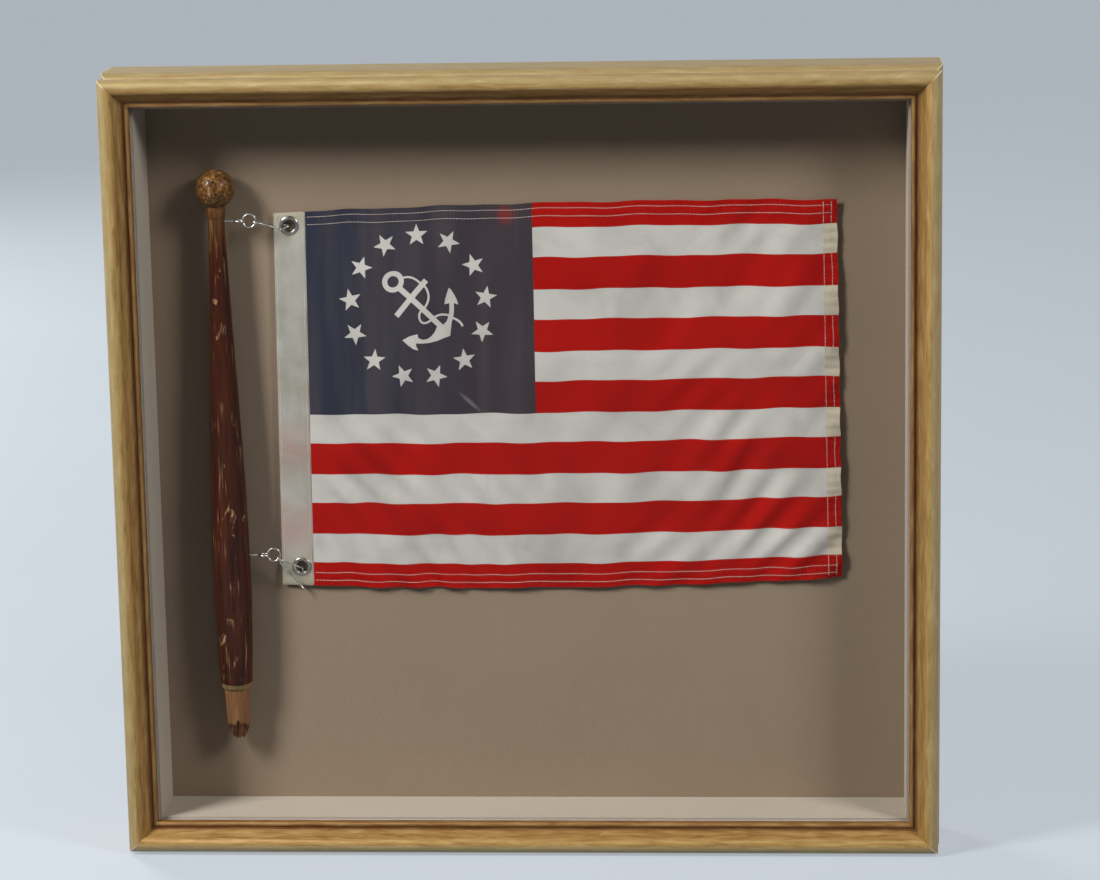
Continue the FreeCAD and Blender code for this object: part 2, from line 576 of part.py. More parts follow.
# Cradles behind the staff and the screws that come through the rear tray into it
tray_holes = []
cradle_screws = []
for name, (_, height) in (("upper", SHAFT_STATIONS[1]), ("lower", SHAFT_STATIONS[5])):
    radius = shaft_radius(height)
    centre = staff_axis(dim.staff_top + height)
    depth = dim.staff_stand - radius + dim.cradle_wrap
    block = box(f"{name}_cradle_block", Length="Sizes.cradle_width", Height="Sizes.cradle_height",
                x=f"{centre.x} - Sizes.cradle_width / 2", y=f"Places.mat_front - {depth}",
                z=f"{centre.z} - Sizes.cradle_height / 2")
    block.Width = depth
    seat = doc.addObject("Part::Cone", f"{name}_cradle_seat")
    seat.Radius1 = shaft_radius(height - dim.cradle_height / 2) + dim.cradle_clearance
    seat.Radius2 = shaft_radius(height + dim.cradle_height / 2) + dim.cradle_clearance
    seat.setExpression("Height", "Sizes.cradle_height")
    seat.Placement.Base = centre - UP * (dim.cradle_height / 2)
    head = V(centre.x, dim.panel_back - dim.cradle_head_height, centre.z)
    bite = head.y - centre.y - radius + dim.cradle_screw_bite
    cradle_screws.append(screw(f"{name}_cradle_screw", "cradle", head, bite))
    passage = hole(f"{name}_cradle_hole", head, FRONT, head.y - centre.y,
                   "cradle_screw_diameter", "clear_hole")
    sink = hole(f"{name}_cradle_sink", head, REAR, dim.cradle_head_height,
                "cradle_head_diameter", "clear_hole")
    tray_holes += [passage, sink]
    staff_tools.append(hole(f"{name}_cradle_pilot", head, FRONT, bite + dim.thread_clearance,
                            "cradle_screw_diameter", "thread_clearance"))
    keep(cut(f"{name}_cradle", block, [seat, passage]), f"{name}_cradle")
keep(group("cradle_screws", cradle_screws), "cradle_screws")

TRAY_SHEETS = (("backing_mat", "mat_front", "mat_thickness"),
               ("backing_board", "board_front", "board_thickness"),
               ("rear_panel", "panel_front", "panel_thickness"))
for name, front, thick in TRAY_SHEETS:
    blank = box(name + "_sheet", Length="Places.tray_width", Width=f"Sizes.{thick}",
                Height="Places.tray_height", x="-Places.tray_width / 2", y=f"Places.{front}",
                z="Places.middle_z - Places.tray_height / 2")
    keep(cut(name, blank, tray_holes), name)

# Flag: heading with two grommets, and the cloth beside it in shallow upright folds
flag_turn = FreeCAD.Rotation(REAR, -dim.flag_tilt)
flag_middle = V(dim.heading_x + dim.flag_width / 2, 0, dim.flag_top - dim.flag_height / 2)
GROMMETS = {"upper": dim.flag_top - dim.grommet_drop, "lower": dim.flag_bottom + dim.grommet_drop}


def flag_point(x, stand, z):
    """A point of the flag, given where it would be if the flag hung straight."""
    point = flag_turn.multVec(V(x, 0, z) - flag_middle) + flag_middle
    return case_point(point.x, stand, point.z)


def grommet_point(name, stand):
    return flag_point(dim.heading_x + dim.grommet_inset, stand, GROMMETS[name])


def make_heading():
    front = dim.heading_stand_off + dim.heading_thickness
    strip = box("heading_strip", Length="Sizes.heading_width", Width="Sizes.heading_thickness",
                Height="Sizes.flag_height")
    strip.Placement = FreeCAD.Placement(flag_point(dim.heading_x, front, dim.flag_bottom), flag_turn)
    seats = [hole(f"{name}_grommet_seat", grommet_point(name, front), REAR, dim.heading_thickness,
                  "grommet_barrel", "running_clearance") for name in GROMMETS]
    keep(cut("flag_heading", strip, seats), "flag_heading")


def make_grommet(name):
    """A rolled eyelet turned about its own axis: thin flange behind, rounded roll in front."""
    bore, barrel, rim = dim.grommet_hole / 2, dim.grommet_barrel / 2, dim.grommet_diameter / 2
    back, front = -dim.grommet_flange, dim.heading_thickness
    crest = ((rim + bore) / 2, front + dim.grommet_roll)
    body = revolved_body(f"{name}_grommet_body", chain(
        (bore, back), ((rim, back),), ((rim, 0),), ((barrel, 0),), ((barrel, front),), ((rim, front),),
        (crest, (bore, front)), ((bore, back),)))
    place = grommet_point(name, dim.heading_stand_off)
    body.Placement = FreeCAD.Placement(place, FreeCAD.Rotation(UP, FRONT))
    keep(body, f"{name}_grommet")


def fold_edges(width, height):
    """A strip of arcs, to and fro, seen from above: X along the cloth, Y to the rear."""
    count = max(2, round(width / dim.fold_width))
    step = width / count
    front, back = [], []
    for i in range(count):
        bow = height if i % 2 else -height
        for edges, y in ((front, -dim.cloth_thickness / 2), (back, dim.cloth_thickness / 2)):
            edges.append(((i * step, y), ((i + 0.5) * step, y + bow), ((i + 1) * step, y)))
    fly, hoist = (front[-1][2], back[-1][2]), (back[0][0], front[0][0])
    return front + [fly] + [tuple(reversed(edge)) for edge in reversed(back)] + [hoist]


def make_cloth():
    inset = dim.heading_width + dim.seam_gap
    width = dim.flag_width - inset
    body = doc.addObject("PartDesign::Body", "flag_cloth_body")
    bottom = outline_sketch(body, "cloth_bottom", "XY_Plane", fold_edges(width, dim.bottom_fold_height))
    top = outline_sketch(body, "cloth_top", "XY_Plane", fold_edges(width, dim.top_fold_height))
    top.setExpression(".AttachmentOffset.Base.z", "Sizes.flag_height")
    loft = body.newObject("PartDesign::AdditiveLoft", "cloth_loft")
    loft.Profile = bottom
    loft.Sections = [top]
    loft.Ruled = True
    corner = flag_point(dim.heading_x + inset, dim.cloth_stand, dim.flag_bottom)
    body.Placement = FreeCAD.Placement(corner, flag_turn)
    keep(body, "flag_cloth")


make_heading()
for name in GROMMETS:
    make_grommet(name)
make_cloth()


# Links: a screw eye in the staff, a jump ring on it and a bent wire snap through the grommet
def torus(name, outer, wire):
    return bind(doc.addObject("Part::Torus", name), Radius1=f"(Sizes.{outer} - Sizes.{wire}) / 2",
                Radius2=f"Sizes.{wire} / 2")


def make_eye(name, z):
    """A screw eye in the side of the staff; returns the centre of its loop."""
    axis = staff_axis(z)
    surface = axis + RIGHT * shaft_radius(z - dim.staff_top)
    centre = surface + RIGHT * dim.eye_reach
    tip = surface - RIGHT * dim.eye_bite
    loop = torus(name + "_eye_loop", "eye_diameter", "eye_wire")
    loop.Placement.Base = centre
    shank = rod(name + "_eye_shank", RIGHT, Radius="Sizes.eye_wire / 2")
    shank.Height = centre.x - (dim.eye_diameter - dim.eye_wire) / 2 - tip.x
    shank.Placement.Base = tip
    keep(fuse(name + "_screw_eye", [loop, shank]), name + "_screw_eye")
    staff_tools.append(hole(name + "_eye_pilot", tip - RIGHT * dim.thread_clearance, RIGHT,
                            dim.eye_bite + dim.eye_reach, "eye_wire", "thread_clearance"))
    return centre


def make_ring(name, eye_centre):
    """A jump ring that hangs in the eye, square to it; returns its centre."""
    eye_radius = (dim.eye_diameter - dim.eye_wire) / 2
    link_radius = (dim.link_diameter - dim.link_wire) / 2
    contact = (dim.eye_wire + dim.link_wire) / 2 + dim.link_gap
    centre = eye_centre + RIGHT * (eye_radius - contact + link_radius)
    ring = torus(name + "_link", "link_diameter", "link_wire")
    ring.Placement = FreeCAD.Placement(centre, FreeCAD.Rotation(UP, REAR))
    keep(ring, name + "_ring")
    return centre


def snap_route(name, ring):
    """Points of a snap: in behind the heading, out through the grommet, round the ring and back."""
    grommet = grommet_point(name, 0)
    pull = V(grommet.x - ring.x, 0, grommet.z - ring.z).normalize()
    link_radius = (dim.link_diameter - dim.link_wire) / 2
    contact = (dim.link_wire + dim.snap_wire) / 2 + dim.link_gap
    hook = 2 * dim.snap_bend
    inner = ring + pull * (link_radius - contact)
    outer = ring + pull * (link_radius + hook)
    lift = FRONT * (contact + dim.snap_ease)
    behind = (dim.heading_stand_off - dim.grommet_flange) / 2
    front = dim.heading_stand_off + dim.heading_thickness + dim.grommet_roll + 2 * dim.snap_wire
    through = [grommet_point(name, behind), grommet_point(name, front)]
    if name == "upper":
        edge = flag_point(dim.heading_x, 0, GROMMETS[name]).x - dim.snap_overhang
        start = case_point(edge + hook + dim.snap_mouth, behind, grommet.z)
        through.append(case_point(grommet.x - dim.snap_lead, front + dim.snap_bow, grommet.z - dim.snap_sag))
        back = [case_point(edge, behind + dim.snap_rise, grommet.z + dim.snap_lift),
                case_point(edge + hook - dim.snap_wire, behind, grommet.z)]
    else:
        edge = flag_point(dim.heading_x, 0, dim.flag_bottom).z - dim.snap_overhang
        start = case_point(grommet.x, behind, edge + hook + dim.snap_mouth)
        toe = grommet.x + dim.snap_toe
        back = [outer - lift + V(pull.z, 0, -pull.x) * dim.snap_spread,
                case_point(grommet.x - dim.snap_slant, front, edge + dim.snap_heel),
                case_point(toe, front, edge), case_point(toe, behind, edge),
                case_point(toe, behind, edge + dim.snap_wire)]
    return [start] + through + [outer + lift, inner + lift, inner - lift] + back


for name, rise in (("upper", dim.upper_eye_rise), ("lower", dim.lower_eye_rise)):
    ring_centre = make_ring(name, make_eye(name, grommet_point(name, 0).z + rise))
    snap = bent_wire(snap_route(name, ring_centre), dim.snap_wire, dim.snap_bend)
    keep(solid(name + "_snap", snap), name + "_snap")
keep(cut("staff", staff_blank, staff_tools), "staff")

doc.recompute()
failed = [item.Name for item in doc.Objects if "Invalid" in item.State or "Error" in item.State]
failed += [piece.Label for piece in PARTS if piece.Shape.isNull() or not piece.Shape.isValid()]
if failed:
    raise RuntimeError("not built: " + ", ".join(failed))
os.makedirs("parts", exist_ok=True)
for piece in PARTS:
    piece.Shape.exportStep(os.path.join("parts", piece.Label + ".step"))
print(len(PARTS), "pieces, outer", round(dim.outer_width, 1), "by", round(dim.outer_height, 1))
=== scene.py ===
import math
import random

import bpy
import numpy as np
from mathutils import Matrix, Vector, noise
from mathutils.geometry import delaunay_2d_cdt


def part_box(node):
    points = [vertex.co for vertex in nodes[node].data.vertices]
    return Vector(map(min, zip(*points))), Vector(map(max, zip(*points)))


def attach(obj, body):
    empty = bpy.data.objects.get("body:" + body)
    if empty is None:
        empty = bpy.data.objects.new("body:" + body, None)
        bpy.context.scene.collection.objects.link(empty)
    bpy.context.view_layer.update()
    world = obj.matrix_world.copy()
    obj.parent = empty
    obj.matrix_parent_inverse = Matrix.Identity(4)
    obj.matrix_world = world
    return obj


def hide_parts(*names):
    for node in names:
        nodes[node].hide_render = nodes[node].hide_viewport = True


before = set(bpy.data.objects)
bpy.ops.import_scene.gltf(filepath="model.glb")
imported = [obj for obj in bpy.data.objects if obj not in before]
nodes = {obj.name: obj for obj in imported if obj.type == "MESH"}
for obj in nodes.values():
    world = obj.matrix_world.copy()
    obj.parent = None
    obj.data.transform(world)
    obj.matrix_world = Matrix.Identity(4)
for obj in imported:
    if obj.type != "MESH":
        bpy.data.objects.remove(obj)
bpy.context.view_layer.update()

# shapes are written in millimetres of the shared frame, and places in a material in metres
MM = 0.001
TURN = 2 * math.pi
MAT_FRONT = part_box("backing_mat")[0].y / MM


def srgb(red, green, blue):
    """A colour written in 0 to 255 as the eye sees it, for a linear socket."""
    parts = [c / 255 for c in (red, green, blue)]
    linear = [c / 12.92 if c <= 0.04045 else ((c + 0.055) / 1.055) ** 2.4 for c in parts]
    return (*linear, 1.0)


class Look:
    """One procedural material: a Principled shader and the nodes that feed it."""

    def __init__(self, name, **sockets):
        self.material = bpy.data.materials.new(name)
        self.material.use_nodes = True
        self.tree = self.material.node_tree
        self.shader = self.tree.nodes["Principled BSDF"]
        for socket, value in sockets.items():
            self.shader.inputs[socket.replace("_", " ")].default_value = value
        self.place = self.tree.nodes.new("ShaderNodeTexCoord").outputs["Object"]
        self.axes = None

    def put(self, socket, value):
        """Link a socket to another, or set it to a constant."""
        if isinstance(value, bpy.types.NodeSocket):
            self.tree.links.new(value, socket)
        elif value is not None:
            socket.default_value = value

    def add(self, kind, *inputs, **settings):
        """A new node with its settings, and its inputs in order."""
        node = self.tree.nodes.new(kind)
        for key, value in settings.items():
            setattr(node, key, value)
        for socket, value in zip(node.inputs, inputs):
            self.put(socket, value)
        return node

    def axis(self, index):
        """One coordinate in metres."""
        if self.axes is None:
            self.axes = self.add("ShaderNodeSeparateXYZ", self.place).outputs
        return self.axes[index]

    def stretch(self, *scale):
        """The place with its own scale along each axis."""
        return self.add("ShaderNodeMapping", self.place, None, None, scale).outputs[0]

    def noise(self, scale, detail=3.0, rough=0.55, place=None, twist=0.0):
        node = self.add("ShaderNodeTexNoise")
        self.put(node.inputs["Vector"], place or self.place)
        self.put(node.inputs["Scale"], scale)
        self.put(node.inputs["Detail"], detail)
        self.put(node.inputs["Roughness"], rough)
        self.put(node.inputs["Distortion"], twist)
        return node.outputs[0]

    def weave(self, pitch):
        """Over-and-under threads with that pitch in metres, along X and Z."""
        waves = []
        for direction in ("X", "Z"):
            node = self.add("ShaderNodeTexWave", bands_direction=direction)
            self.put(node.inputs["Vector"], self.place)
            self.put(node.inputs["Scale"], TURN / (20 * pitch))
            self.put(node.inputs["Distortion"], 0.6)
            self.put(node.inputs["Detail Scale"], 0.4)
            waves.append(node.outputs["Fac"])
        return self.math("MULTIPLY", *waves)

    def math(self, operation, a, b=None):
        return self.add("ShaderNodeMath", a, b, operation=operation).outputs[0]

    def span(self, value, low, high):
        """0 at low and 1 at high, straight between."""
        return self.add("ShaderNodeMapRange", value, low, high, 0.0, 1.0).outputs[0]

    def ramp(self, factor, *stops):
        """Colours or grey levels at positions from 0 to 1."""
        node = self.add("ShaderNodeValToRGB", factor)
        marks = node.color_ramp.elements
        while len(marks) < len(stops):
            marks.new(0.5)
        for mark, (position, colour) in zip(marks, stops):
            mark.position = position
            mark.color = colour if isinstance(colour, tuple) else (colour, colour, colour, 1.0)
        return node.outputs[0]

    def mix(self, factor, a, b, mode="MIX"):
        node = self.add("ShaderNodeMix", data_type="RGBA", blend_type=mode)
        self.put(node.inputs[0], factor)
        self.put(node.inputs[6], a)
        self.put(node.inputs[7], b)
        return node.outputs[2]

    def colour(self, value):
        self.put(self.shader.inputs["Base Color"], value)

    def rough(self, factor, low, high):
        """Roughness from low to high as a noise goes over its usual range."""
        node = self.add("ShaderNodeMapRange", factor, 0.3, 0.7, low, high)
        self.put(self.shader.inputs["Roughness"], node.outputs[0])

    def bump(self, height, distance, strength=1.0):
        node = self.add("ShaderNodeBump")
        self.put(node.inputs["Strength"], strength)
        self.put(node.inputs["Distance"], distance)
        self.put(node.inputs["Height"], height)
        self.put(self.shader.inputs["Normal"], node.outputs[0])


def dress(look, *names):
    """Give carried-over CAD nodes a material."""
    for name in names:
        slots = nodes[name].data.materials
        if slots:
            slots[0] = look.material
        else:
            slots.append(look.material)


def new_piece(name, verts, faces, looks, indices=None, body="tray", sharp=40.0):
    """A mesh piece on a body, smooth except at folds sharper than that many degrees."""
    mesh = bpy.data.meshes.new(name)
    mesh.from_pydata([(x * MM, y * MM, z * MM) for x, y, z in verts], [], faces)
    for look in looks:
        mesh.materials.append(look.material)
    if indices is not None:
        mesh.polygons.foreach_set("material_index", indices)
    mesh.update()
    mesh.shade_smooth()
    if sharp is not None:
        mesh.set_sharp_from_angle(angle=math.radians(sharp))
    piece = bpy.data.objects.new(name, mesh)
    bpy.context.scene.collection.objects.link(piece)
    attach(piece, body)
    return piece


def inside(points, outline):
    """Which of the points lie inside a closed outline."""
    x, y = points[:, 0], points[:, 1]
    hits = np.zeros(len(points), bool)
    for (x0, y0), (x1, y1) in zip(outline, np.roll(outline, -1, axis=0)):
        if y0 != y1:
            hits ^= ((y0 > y) != (y1 > y)) & (x < (x1 - x0) * (y - y0) / (y1 - y0) + x0)
    return hits


def gap_to(points, outline):
    """Distance of each point from the nearest edge of a closed outline."""
    best = np.full(len(points), np.inf)
    for start, end in zip(outline, np.roll(outline, -1, axis=0)):
        way = end - start
        along = np.clip((points - start) @ way / max(way @ way, 1e-9), 0, 1)
        best = np.minimum(best, np.linalg.norm(points - start - along[:, None] * way, axis=1))
    return best


def triangulate(points, outlines, clear):
    """Triangles over a rectangle of points, with every outline kept as edges."""
    points = np.array(points, float)
    rim = ((points == points.min(0)) | (points == points.max(0))).any(1)
    for outline in outlines:
        free = (gap_to(points, outline) > clear) | rim
        points, rim = points[free], rim[free]
    verts, edges = [Vector(p) for p in points], []
    for outline in outlines:
        first, count = len(verts), len(outline)
        verts += [Vector(p) for p in outline]
        edges += [(first + i, first + (i + 1) % count) for i in range(count)]
    made = delaunay_2d_cdt(verts, edges, [], 0, 1e-5)
    return np.array([tuple(v) for v in made[0]]), np.array([tuple(f) for f in made[2]])


def grid(columns, rows):
    """Every crossing of the columns and rows."""
    return [(x, a) for a in rows for x in columns]


def steps(low, high, pitch):
    """Even steps from low to high, near that pitch."""
    return list(np.linspace(low, high, max(2, round((high - low) / pitch) + 1)))


def tube(rows, sides):
    """Faces between rings of points, row after row."""
    faces = []
    for row in range(rows - 1):
        a, b = row * sides, (row + 1) * sides
        for i in range(sides):
            j = (i + 1) % sides
            faces.append((a + i, a + j, b + j, b + i))
    return faces


def shell(name, flat, triangles, place, front, back, looks, indices, **settings):
    """A closed thin piece from flat triangles: a front and a back joined round every edge."""
    x, z = place(flat[:, 0], flat[:, 1])
    edge = np.stack([x, z], 1)
    a, b, c = (edge[triangles[:, k]] for k in range(3))
    area = (b[:, 0] - a[:, 0]) * (c[:, 1] - a[:, 1]) - (c[:, 0] - a[:, 0]) * (b[:, 1] - a[:, 1])
    triangles = np.where((area < 0)[:, None], triangles[:, ::-1], triangles)
    near = MAT_FRONT - front(flat[:, 0], flat[:, 1])
    far = MAT_FRONT - back(flat[:, 0], flat[:, 1])
    verts = list(zip(x, near, z)) + list(zip(x, far, z))
    count = len(flat)
    faces = [tuple(int(i) for i in t) for t in triangles]
    marks = list(indices)
    faces += [tuple(int(i) + count for i in reversed(t)) for t in triangles]
    marks += list(indices)
    used = {}
    for t, mark in zip(triangles, indices):
        for i in range(3):
            used[(int(t[i]), int(t[(i + 1) % 3]))] = mark
    for (i, j), mark in used.items():
        if (j, i) not in used:
            faces.append((j, i, i + count, j + count))
            marks.append(mark)
    return new_piece(name, verts, faces, looks, marks, **settings)


def ease(value, low, high):
    """0 below low, 1 above high, smooth between."""
    t = np.clip((value - low) / (high - low), 0, 1)
    return t * t * (3 - 2 * t)


# the flag: x along the fly and a down from the top hem
HOIST, FLY, DROP = -180.4, 252.4, 314.0
FLAG_TOP, FLAG_MIDDLE, FLAG_HALF = 524.9, 24, 228.5
HEADING_LEFT, HEADING_RIGHT = -204.6, -178.6
SEAM_LEFT, SEAM_RIGHT = 2.0, 2.4
CANTON_RIGHT, CANTON_FOOT = 6.2, 170.0
STRIPES = (0, 19.9, 43.9, 69.9, 94.0, 120.0, 144.0, 170.0, 194.1, 220.1, 244.1, 270.1, 294.2, DROP)
WARP = (-0.68, 2.04, 2.19, 0.57, 1.23, -0.2, -4.23, 1.04)
HEM = 11.6
FLY_HEM = FLY - 10.9
STITCH_ROWS = (4.6, 11.0)
# heights over the mat: the middle of the cloth, how far folds may leave it, and half its thickness
CLOTH_MIDDLE, CLOTH_REACH, CLOTH_HALF = 3.3, 2.4, 0.3
HOIST_MIDDLE = 3.55
LEFT_FOLDS, RIGHT_FOLDS, CREASES = 2.1, 1.7, 0.8


def flag_place(x, a):
    """Where a point of the flat cloth lies on the backing, with the pull of its own weave."""
    s, t = (x - FLAG_MIDDLE) / FLAG_HALF, (DROP / 2 - a) / (DROP / 2)
    terms = (1, s, t, s * t, s * s, t * t, s * s * t, s * t * t)
    lift = sum(k * term for k, term in zip(WARP, terms))
    fade = ease(x, HEADING_RIGHT, HEADING_RIGHT + 40)
    lift = lift + fade * (0.45 * np.sin(TURN * x / 83 + a / 41) + 0.25 * np.sin(TURN * x / 39 - a / 27))
    share = np.clip((x - HEADING_RIGHT) / (FLY - HEADING_RIGHT), -0.1, 1.1)
    lean = (1 - share) * 1.05 * t - share * 2.1 * t
    ripple = 0.35 * ease(x, FLY - 12, FLY) * np.sin(TURN * a / 26.5 + 0.8 * np.sin(a / 17))
    return x + lean + ripple, FLAG_TOP - a + lift


def zigzag(value):
    """Straight folds to and fro, from -1 to 1, one for each whole number."""
    return 4 * np.abs((value % 1) - 0.5) - 1


def hump(offset, width):
    """1 at no offset, falling away smoothly over that width."""
    return np.exp(-((offset / width) ** 2))


def cloth_folds(x, a):
    """Soft diagonal folds below the eyelets and towards the fly, on slow waves."""
    low = ease(a, 110, 300)
    sway = 0.9 * np.sin(x / 31 + 0.4) + 0.8 * np.sin(a / 23)
    left = LEFT_FOLDS * low * hump(x + 108, 84) * (0.8 + 0.4 * np.sin(x / 24 + a / 29))
    right = RIGHT_FOLDS * (0.3 + 0.7 * low) * ease(x, 40, 170) * (0.75 + 0.45 * np.sin(x / 21 - a / 33))
    folds = left * np.sin(TURN * (x * 0.82 - a * 0.62) / 23 + sway)
    folds += right * np.sin(TURN * (x * 0.72 + a * 0.66) / 25 + sway)
    return folds + 0.44 * np.sin(TURN * a / 118 + x / 83) + 0.56 * np.sin(TURN * (x + 0.4 * a) / 57 + 1.1)


def cloth_creases(x, a):
    """Old packing creases: upright ones, one across the fly and one under the canton."""
    upright = CREASES * zigzag(x / 81 + 0.13) * (0.7 + 0.3 * np.sin(a / 47))
    fly = hump((x - 150) * 0.93 - (a - 40) * 0.37, 3.4) * ease(a, 5, 25) * (1 - ease(a, 95, 125))
    under = hump((x + 52) * 0.62 - (a - 178) * 0.78, 4.0) * hump(x + 40, 26)
    return upright + 0.5 * fly + 0.55 * under


def cloth_hems(x, a):
    """Doubled hems that pucker along their stitches, and fly corners that lift off the mat."""
    side = np.minimum(a, DROP - a)
    edge = np.minimum(side, FLY - x)
    height = 0.32 * (1 - ease(edge, HEM - 0.6, HEM + 0.9))
    for row in STITCH_ROWS:
        height = height - 0.22 * hump(edge - row, 0.9)
    height += 0.42 * ease(x, FLY_HEM - 2, FLY_HEM + 1) * np.sin(TURN * a / 7.9 + 1.7 * np.sin(a / 19))
    height += 0.14 * (1 - ease(side, HEM - 2, HEM + 1)) * np.sin(TURN * x / 8.3 + 1.3 * np.sin(x / 29))
    height += 0.7 * ease(x, 200, FLY) * ease(a, 250, DROP)
    return height + 0.5 * ease(x, 205, FLY) * (1 - ease(a, 0, 60))


def cloth_height(x, a):
    """Middle of the cloth over the backing mat, level where it goes under the heading."""
    height = CLOTH_MIDDLE + cloth_folds(x, a) + cloth_creases(x, a) + cloth_hems(x, a)
    height = HOIST_MIDDLE + (height - HOIST_MIDDLE) * ease(x, HOIST + 2, HOIST + 26)
    return CLOTH_MIDDLE + CLOTH_REACH * np.tanh((height - CLOTH_MIDDLE) / CLOTH_REACH)


def cloth_front(x, a):
    return cloth_height(x, a) + CLOTH_HALF


def cloth_back(x, a):
    return cloth_height(x, a) - CLOTH_HALF


def heading_front(x, a):
    """Front of the canvas heading: rounded edges, seams pulled in and a flat round each eyelet."""
    edge = np.minimum(np.minimum(x - HEADING_LEFT, HEADING_RIGHT - x), np.minimum(a, DROP - a))
    swell = 1 - np.exp(-edge / 0.5)
    pull = 0.3 * (hump(HEADING_RIGHT - SEAM_RIGHT - x, 0.8) + hump(x - HEADING_LEFT - SEAM_LEFT, 0.8))
    dent = np.zeros_like(x)
    for gx, ga in GROMMETS:
        dent += np.exp(-((np.hypot(x - gx, a - ga) / 8.5) ** 6))
    wave = 0.16 * np.sin(TURN * a / 67 + x / 9) + 0.1 * np.sin(TURN * a / 29 + 1)
    return 3.75 + (0.75 + wave * (1 - dent) - pull) * swell - 0.1 * dent


def heading_back(x, a):
    """Back of the heading, with its two long edges turned in."""
    edge = np.minimum(x - HEADING_LEFT, HEADING_RIGHT - x)
    return np.full_like(x, 3.0) + 0.35 * np.exp(-edge / 0.5)


def flag_flat(x, z):
    """The flat place of a point on the backing, by going round flag_place a few times."""
    fx, fa = np.array([x], float), np.array([FLAG_TOP - z], float)
    for _ in range(12):
        gx, gz = flag_place(fx, fa)
        fx, fa = fx + x - gx, fa + gz - z
    return float(fx[0]), float(fa[0])


def middle_of(node):
    """Middle of a CAD node's box."""
    low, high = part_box(node)
    return (low + high) / 2 / MM


GROMMETS = []
for grommet in ("upper_grommet", "lower_grommet"):
    spot = middle_of(grommet)
    GROMMETS.append(flag_flat(spot.x, spot.z))


def circle(x, a, radius, count=40):
    """A closed ring of points."""
    turns = [TURN * i / count for i in range(count)]
    return np.array([(x + radius * math.cos(turn), a + radius * math.sin(turn)) for turn in turns])


def strip(points, width):
    """The outline of a band of one width along a smooth line."""
    points = np.array(points, float)
    if len(points) > 2:
        marks = np.arange(len(points))
        dense = np.linspace(0, len(points) - 1, 6 * len(points))
        fits = [np.polyfit(marks, points[:, k], min(4, len(points) - 1)) for k in range(2)]
        points = np.stack([np.polyval(fit, dense) for fit in fits], 1)
    way = np.gradient(points, axis=0)
    way /= np.linalg.norm(way, axis=1)[:, None]
    side = np.stack([-way[:, 1], way[:, 0]], 1) * width / 2
    return np.concatenate([points + side, (points - side)[::-1]])


def star(x, a, radius, turn):
    """A five-pointed star with one point towards turn, in radians from the top."""
    rows = []
    for i in range(10):
        reach = radius if i % 2 == 0 else radius * 0.41
        angle = turn + math.pi * i / 5
        rows.append((x + reach * math.sin(angle), a - reach * math.cos(angle)))
    return np.array(rows)


STAR_RING = (-88.1, 81.5)
STAR_RING_WIDE, STAR_RING_TALL, STAR_RADIUS, STAR_COUNT = 55.6, 58.6, 9.5, 13
STARS = []
for number in range(STAR_COUNT):
    bearing = TURN * number / STAR_COUNT
    STARS.append(star(STAR_RING[0] + STAR_RING_WIDE * math.sin(bearing),
                      STAR_RING[1] - STAR_RING_TALL * math.cos(bearing), STAR_RADIUS, bearing))

ANCHOR_EYE = np.array((-108.1, 60.3))
ARMS = np.array((
    (45.4, 6.3), (47.6, 8.7), (50.0, 12.7), (51.6, 16.3), (52.8, 20.2), (49.1, 18.8), (49.2, 23.5),
    (48.7, 28.3), (47.0, 34.4), (46.3, 39.8), (45.6, 45.2), (41.3, 46.7), (35.3, 49.4), (29.2, 51.4),
    (23.2, 52.0), (17.8, 51.7), (17.6, 53.4), (19.4, 57.6), (15.4, 56.2), (11.2, 53.1), (6.6, 48.7),
    (12.4, 45.7), (19.1, 44.2), (19.6, 47.3), (23.2, 49.0), (26.8, 48.4), (30.5, 45.8), (33.2, 42.2),
    (34.7, 38.6), (40.4, 35.9), (43.1, 33.2), (44.9, 28.3), (45.5, 23.5), (45.4, 18.8), (41.5, 19.6),
    (42.2, 15.7), (43.7, 10.9)))
ROPES = (
    ((8.4, -2.5), (12.4, -2.9), (17.2, -1.5), (21.4, 1.5), (24.7, 3.6)),
    ((25.9, 4.8), (28.3, 9.6), (28.8, 14.5), (27.4, 19.3), (24.7, 23.8)),
    ((22.6, 25.3), (20.8, 29.8), (22.0, 33.8), (24.7, 35.3), (28.0, 34.4), (31.1, 32.3)),
    ((32.3, 30.8), (37.1, 28.3), (41.3, 27.9), (46.1, 28.8)),
    ((47.6, 30.5), (51.6, 32.6), (54.3, 35.0), (55.9, 37.9)))
ANCHOR = [ARMS, strip(((4.5, 5.1), (40.4, 39.8)), 4.5), strip(((2.1, 28.6), (27.1, 0.0)), 4.5)]
ANCHOR += [strip(rope, 1.7) for rope in ROPES]
ANCHOR = [outline + ANCHOR_EYE for outline in ANCHOR]
EYE_OUTER, EYE_INNER = circle(*ANCHOR_EYE, 8.9), circle(*ANCHOR_EYE, 4.7)

RED, WHITE, BLUE, CREAM = range(4)
RED_SPOT = (-0.0155, 0.011, 0.5165)
SCUFF_PLACE, SCUFF_SIZE = (-0.0475, 0.011, 0.3635), (0.014, 0.02, 0.0022)
SCUFF_TURN = (0.0, math.radians(43), 0.0)
BUNTING_THREAD, CANVAS_THREAD = 0.00052, 0.0008


